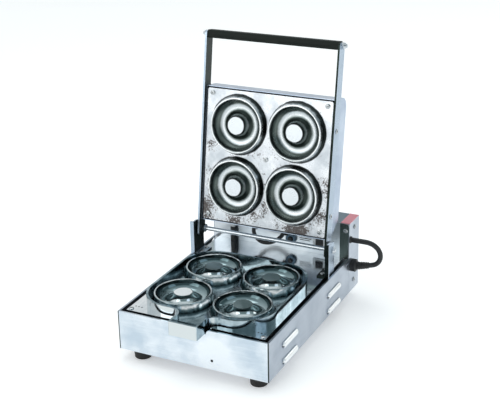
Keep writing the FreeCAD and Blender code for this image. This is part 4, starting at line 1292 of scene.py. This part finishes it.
@dataclass
class Finishes:
    """Every material of the machine, made once."""

    hinge: Vector
    cup_distance: float = 0.12705       # hinge axis to the middle of the four cups
    face_below_hinge: float = 0.0219    # shut: lid rims below the hinge axis
    open_degrees: float = 98.7
    tray_back_to_middle: float = 0.10265
    louvre_bulge: float = 0.0042
    edge_start: float = 0.0009          # past a panel's face, where another colour begins
    edge_full: float = 0.0016           # and where it is full

    def lid_middle(self) -> Vector:
        """Give the middle of the lid's cups with the lid open."""
        shut = Vector((0.0, -self.cup_distance, -self.face_below_hinge))
        return self.hinge + Matrix.Rotation(-math.radians(self.open_degrees), 3, "X") @ shut

    def make(self) -> "Finishes":
        """Build the materials.

        Returns:
            The same object with its materials set.
        """
        lower_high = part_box("lower_plate")[1]
        panel_low, panel_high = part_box("side_panel_right")
        front = panel_low.y
        side = panel_high.x - self.louvre_bulge
        # painted light and shade: one stainless, painted lighter on the front panel and darker
        # blue-grey on the side sheet
        self.front_sheet = Stainless("brushed_stainless_front", light="#e6ecf1", shade="#bccad6",
                                     roughness=0.22, spread=0.05, line_share=0.85,
                                     grain=Axis.ALONG_X, bump=0.006).make()
        self.side_sheet = Stainless(
            "brushed_stainless_side", light="#b9c1cb", shade="#a1abb7", roughness=0.3,
            spread=0.05, line_share=0.75, grain=Axis.ALONG_Y, bump=0.008, zones=(
                # painted highlight: the louvres' bulges, past the panel's face, go near white
                (0, side + self.edge_start, side + self.edge_full, "#f6f8f8"),
                (1, front + self.edge_full, front + self.edge_start, "#2a3234"))).make()
        self.casing_sheet = Stainless("brushed_stainless_casing", light="#c2cedc",
                                      shade="#a4b3c6", roughness=0.3, spread=0.06,
                                      line_share=0.7, grain=Axis.ALONG_Z, bump=0.01).make()
        self.deck_sheet = Stainless("polished_stainless_deck", light="#eef2f4", shade="#cdd6dc",
                                    roughness=0.1, spread=0.06, line_share=0.75,
                                    grain=Axis.ALONG_Y, bump=0.006).make()
        self.box_sheet = Stainless("satin_stainless_box", light="#dde1e4", shade="#bcc3c9",
                                   roughness=0.32, spread=0.06, line_share=0.7,
                                   grain=Axis.ALONG_X, bump=0.008).make()
        self.cap_sheet = Stainless("dulled_stainless_cap", light="#5f6b69", shade="#434e4c",
                                   roughness=0.45, grain=Axis.ALONG_Z).make()
        self.dark_sheet = Stainless("heat_darkened_sheet", light="#4a4b4c", shade="#24282b",
                                    roughness=0.42, grain=Axis.ALONG_Y).make()
        self.lower_cast = CupPlate(
            "polished_cast_aluminium_lower", light="#b4c4cb", shade="#74888f",
            centre=(0.0, lower_high.y - self.tray_back_to_middle, 0.0),
            # painted shade: the darker colour of three posts
            roughness=0.1, spots=0.45, soot="#2a3334", painted_post_shade="#5f7072",
            # painted reflection: the paler colour of faces that look forwards
            front_reflection="#cfd5d6", reflection_rings=(
                # painted reflections: each cup's bright and dark rings, radius in millimetres and
                # colour
                (0.0, "#f2f5f6"), (13.2, "#f2f5f6"), (13.9, "#172121"), (14.8, "#aebdc0"),
                (17.0, "#dfe7e9"), (21.0, "#72868a"), (27.0, "#a9bbbf"), (33.0, "#8ea1a5"),
                (38.6, "#5d7175"), (40.2, "#1f2b2c"), (41.0, "#eef3f5"), (43.0, "#6d8287"),
                (44.3, "#f2f6f8"), (45.4, "#6d8287"), (47.0, "#2b3a3d"))).make()
        middle = self.lid_middle()
        self.upper_cast = CupPlate(
            "worn_cast_aluminium_upper", centre=tuple(middle),
            tilt=-math.radians(self.open_degrees), roughness=0.27, spots=1.6,
            light="#dfe3e7", shade="#b9c0c6", soot="#66574f", reflection_rings=(
                # painted reflections: each cup's bright and dark rings, radius in millimetres and
                # colour
                (0.0, "#d3d9dd"), (13.0, "#d3d9dd"), (13.9, "#2c3231"), (14.8, "#747d7c"),
                (16.2, "#c9d0d2"), (18.0, "#343d3b"), (22.6, "#39423f"), (25.2, "#9aa3a3"),
                (27.0, "#d2d7da"), (31.0, "#bcc4c7"), (33.4, "#59625f"), (37.6, "#707b78"),
                (39.6, "#262c2b"), (40.8, "#a9b1b2"), (41.6, "#eef1f2"), (43.8, "#e0e5e7"),
                (44.8, "#454d4a"), (47.0, "#23292a"))).make()
        # painted shade on each bar's inward face
        self.left_bar = TwoFacedBar("steel_bar_left").make()
        self.right_bar = TwoFacedBar("steel_bar_right", dark_from=0.6, dark_full=0.2).make()
        self.handle = Moulded("phenolic_handle", body="#0c1511", dust="#17221d", roughness=0.5,
                              relief=0.05, specular=0.2).make()
        self.plate_bright = Plated("bright_nickel").make()
        self.screw_metal = Plated("bright_zinc", light="#d9dcdc", shade="#8c9499",
                                  roughness=0.2).make()
        self.aged_metal = Plated("aged_zinc", light="#6f8494", shade="#33424d",
                                 roughness=0.3).make()
        self.element = Stainless("heat_blued_element", light="#6a5f57", shade="#3a3634",
                                 roughness=0.4, grain=Axis.ALONG_Y).make()
        self.wool = PressedWool("pressed_mineral_wool").make()
        self.foot_rubber = Moulded("foot_rubber", body="#151515", dust="#35342f",
                                   roughness=0.7, relief=0.2, grain_mm=1.0).make()
        self.black = Moulded("black_abs", body="#161819", dust="#2e3132", roughness=0.4).make()
        self.white = Moulded("white_abs", body="#dfe3e4", dust="#b9bcb8", roughness=0.38,
                             dusting=0.5).make()
        self.strip = Moulded("pink_pvc_strip", body="#e58f99", dust="#e8a4ab", roughness=0.45,
                             relief=0.03, dusting=0.5, coat=0.4).make()
        self.lens = LampLens("amber_lens").make()
        self.sheath = Moulded("rubber_sheath", body="#0e1113", dust="#23282b", roughness=0.42,
                              relief=0.06, grain_mm=1.2, dusting=0.5).make()
        return self


@dataclass
class Studio:
    """A pale floor, soft light and the camera."""

    floor_size: float = 14.0
    lens_mm: float = 79.12
    turn: float = 26.23
    height_angle: float = 22.02
    roll: float = -1.01
    stand: Tuple[float, float, float] = (0.67897, -1.35171, 0.80675)

    def add_camera(self) -> None:
        """Set the camera where the machine is seen from its front right."""
        a, e, r = (math.radians(v) for v in (self.turn, self.height_angle, self.roll))
        back = Vector((math.sin(a) * math.cos(e), -math.cos(a) * math.cos(e), math.sin(e)))
        level = Vector((math.cos(a), math.sin(a), 0.0))
        upright = back.cross(level)
        right = level * math.cos(r) + upright * math.sin(r)
        up = upright * math.cos(r) - level * math.sin(r)
        data = bpy.data.cameras.new("viewpoint")
        data.lens = self.lens_mm
        data.sensor_width = 36.0
        data.clip_start = 0.01
        camera = bpy.data.objects.new("viewpoint", data)
        bpy.context.scene.collection.objects.link(camera)
        turn = Matrix((right, up, back)).transposed()
        camera.matrix_world = Matrix.Translation(self.stand) @ turn.to_4x4()
        bpy.context.scene.camera = camera

    def add_floor(self) -> None:
        """Lay the floor."""
        bm = bmesh.new()
        bmesh.ops.create_grid(bm, x_segments=4, y_segments=4, size=self.floor_size / 2)
        mesh = bpy.data.meshes.new("studio_floor")
        bm.to_mesh(mesh)
        bm.free()
        mesh.materials.append(StudioFloor("pale_paper").make())
        floor = place("studio_floor", mesh)
        floor.location.z = -0.0002

    def add_light(self, name: str, spot: Tuple[float, float, float], size: float,
                  watts: float, tint: str = "#ffffff") -> None:
        """Hang one soft square light aimed at the machine.

        Args:
            name: The light's name.
            spot: Where it hangs.
            size: The length of its side.
            watts: Its power.
            tint: Its colour.
        """
        data = bpy.data.lights.new(name, "AREA")
        data.shape = "SQUARE"
        data.size = size
        data.energy = watts
        data.color = linear(tint)[:3]
        lamp = bpy.data.objects.new(name, data)
        lamp.location = spot
        aim = Vector(spot) - Vector((0.0, 0.0, 0.15))
        lamp.rotation_euler = aim.to_track_quat("Z", "Y").to_euler()
        bpy.context.scene.collection.objects.link(lamp)

    def add_sky(self) -> None:
        """Fill the room: white low down, a grey-green wall with a white card and a pale ceiling,
        so that polished metal shows form."""
        world = bpy.data.worlds.new("soft_room")
        bpy.context.scene.world = world
        world.use_nodes = True
        tree = world.node_tree
        tree.nodes.clear()
        where = add(tree, "ShaderNodeTexCoord")
        parts = add(tree, "ShaderNodeSeparateXYZ", {0: where.outputs["Generated"]})
        low = add(tree, "ShaderNodeMapRange", {
            "Value": parts.outputs[2], "From Min": 0.04, "From Max": 0.36},
            interpolation_type="SMOOTHSTEP")
        high = add(tree, "ShaderNodeMapRange", {
            "Value": parts.outputs[2], "From Min": 0.55, "From Max": 0.85},
            interpolation_type="SMOOTHSTEP")
        wall = add(tree, "ShaderNodeMix", {0: low, 6: "#ffffff", 7: "#7f9093"}, data_type="RGBA")
        # a white card stands to the left behind the machine
        card = add(tree, "ShaderNodeMapRange", {
            "Value": parts.outputs[0], "From Min": -0.41, "From Max": -0.5})
        wall = add(tree, "ShaderNodeMix", {0: card, 6: wall, 7: "#f4f6f7"}, data_type="RGBA")
        shade = add(tree, "ShaderNodeMix", {0: high, 6: wall, 7: "#dfe6e8"}, data_type="RGBA")
        glow = add(tree, "ShaderNodeBackground", {0: shade, 1: 1.0})
        add(tree, "ShaderNodeOutputWorld", {0: glow})

    def build(self) -> None:
        """Build the whole studio."""
        self.add_camera()
        self.add_floor()
        self.add_light("key", (-1.25, -2.5, 1.25), 1.9, 17.0)
        self.add_light("fill", (2.1, -0.4, 1.1), 1.3, 5.0, "#e6efff")
        self.add_light("rear", (1.2, 2.4, 1.25), 1.1, 6.0)
        self.add_light("top", (-0.3, 0.2, 2.3), 1.6, 11.0)
        self.add_sky()
        scene = bpy.context.scene
        scene.view_settings.view_transform = "Standard"
        scene.view_settings.look = "None"
        LOG.info("studio ready")


def screw_sets(hinge_tilt: Vector) -> List[ScrewSet]:
    """List the screw sets with the way in which each one's heads look.

    Args:
        hinge_tilt: The way in which the open lid's plate looks.

    Returns:
        The sets.
    """
    up = Vector((0.0, 0.0, 1.0))

    def sideways(middle: Vector) -> Vector:
        """Look outwards from the machine's middle."""
        return Vector((math.copysign(1.0, middle.x), 0.0, 0.0))

    def box_way(middle: Vector) -> Vector:
        """Look forwards on the box's front and sideways on its ends."""
        small = abs(middle.x) < 0.1165
        return Vector((0.0, -1.0, 0.0)) if small else sideways(middle)

    return [
        ScrewSet("deck_screws", "base", "bright_fasteners", lambda middle: up, 0.0020),
        ScrewSet("plate_screws", "lid", "bright_fasteners", lambda middle: hinge_tilt, 0.0016),
        ScrewSet("arm_screws", "lid", "bright_fasteners", sideways, 0.0014),
        ScrewSet("box_screws", "base", "bright_fasteners", box_way, 0.0014),
        ScrewSet("foot_screws", "base", "bright_fasteners", lambda middle: -up, 0.0024),
    ]


def main() -> None:
    """Build the machine's looks, sub-assembly by sub-assembly."""
    logging.basicConfig(level=logging.INFO, format="%(message)s")
    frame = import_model()
    Studio().build()
    record = frame["record"]
    hinge = next(j for j in frame["joints"] if j["name"] == "lid_hinge")
    shop = Finishes(Vector(hinge["pos_m"]), open_degrees=hinge["range_deg"][1]).make()
    bodies = {node: body for body, group in record["behaviour"]["bodies"].items() for node in group}
    slots = {row["node"]: row["material_slot"] for row in record["subparts"]}
    dresser = Dresser(frame["nodes"], slots, bodies)
    ribs = RibTree().build()
    Lead().build(dresser, shop.sheath, shop.black, ribs)
    InnerLead().build(dresser, shop.sheath, shop.black)
    BaseShell().dress(dresser, shop)
    for group in (LowerCasting(), Hinge(), Lid()):
        group.dress(dresser, shop)
    ControlBox().build(dresser, shop, ribs)
    screws = ScrewTree().build()
    looks = Matrix.Rotation(-math.radians(shop.open_degrees), 3, "X") @ Vector((0, 0, -1))
    for screw_set in screw_sets(looks):
        screw_set.build(screws, shop.screw_metal)
        LOG.info("grew screw heads for %s", screw_set.node)
    LOG.info("built %d pieces", len(dresser.made))


if __name__ == "__main__":
    main()
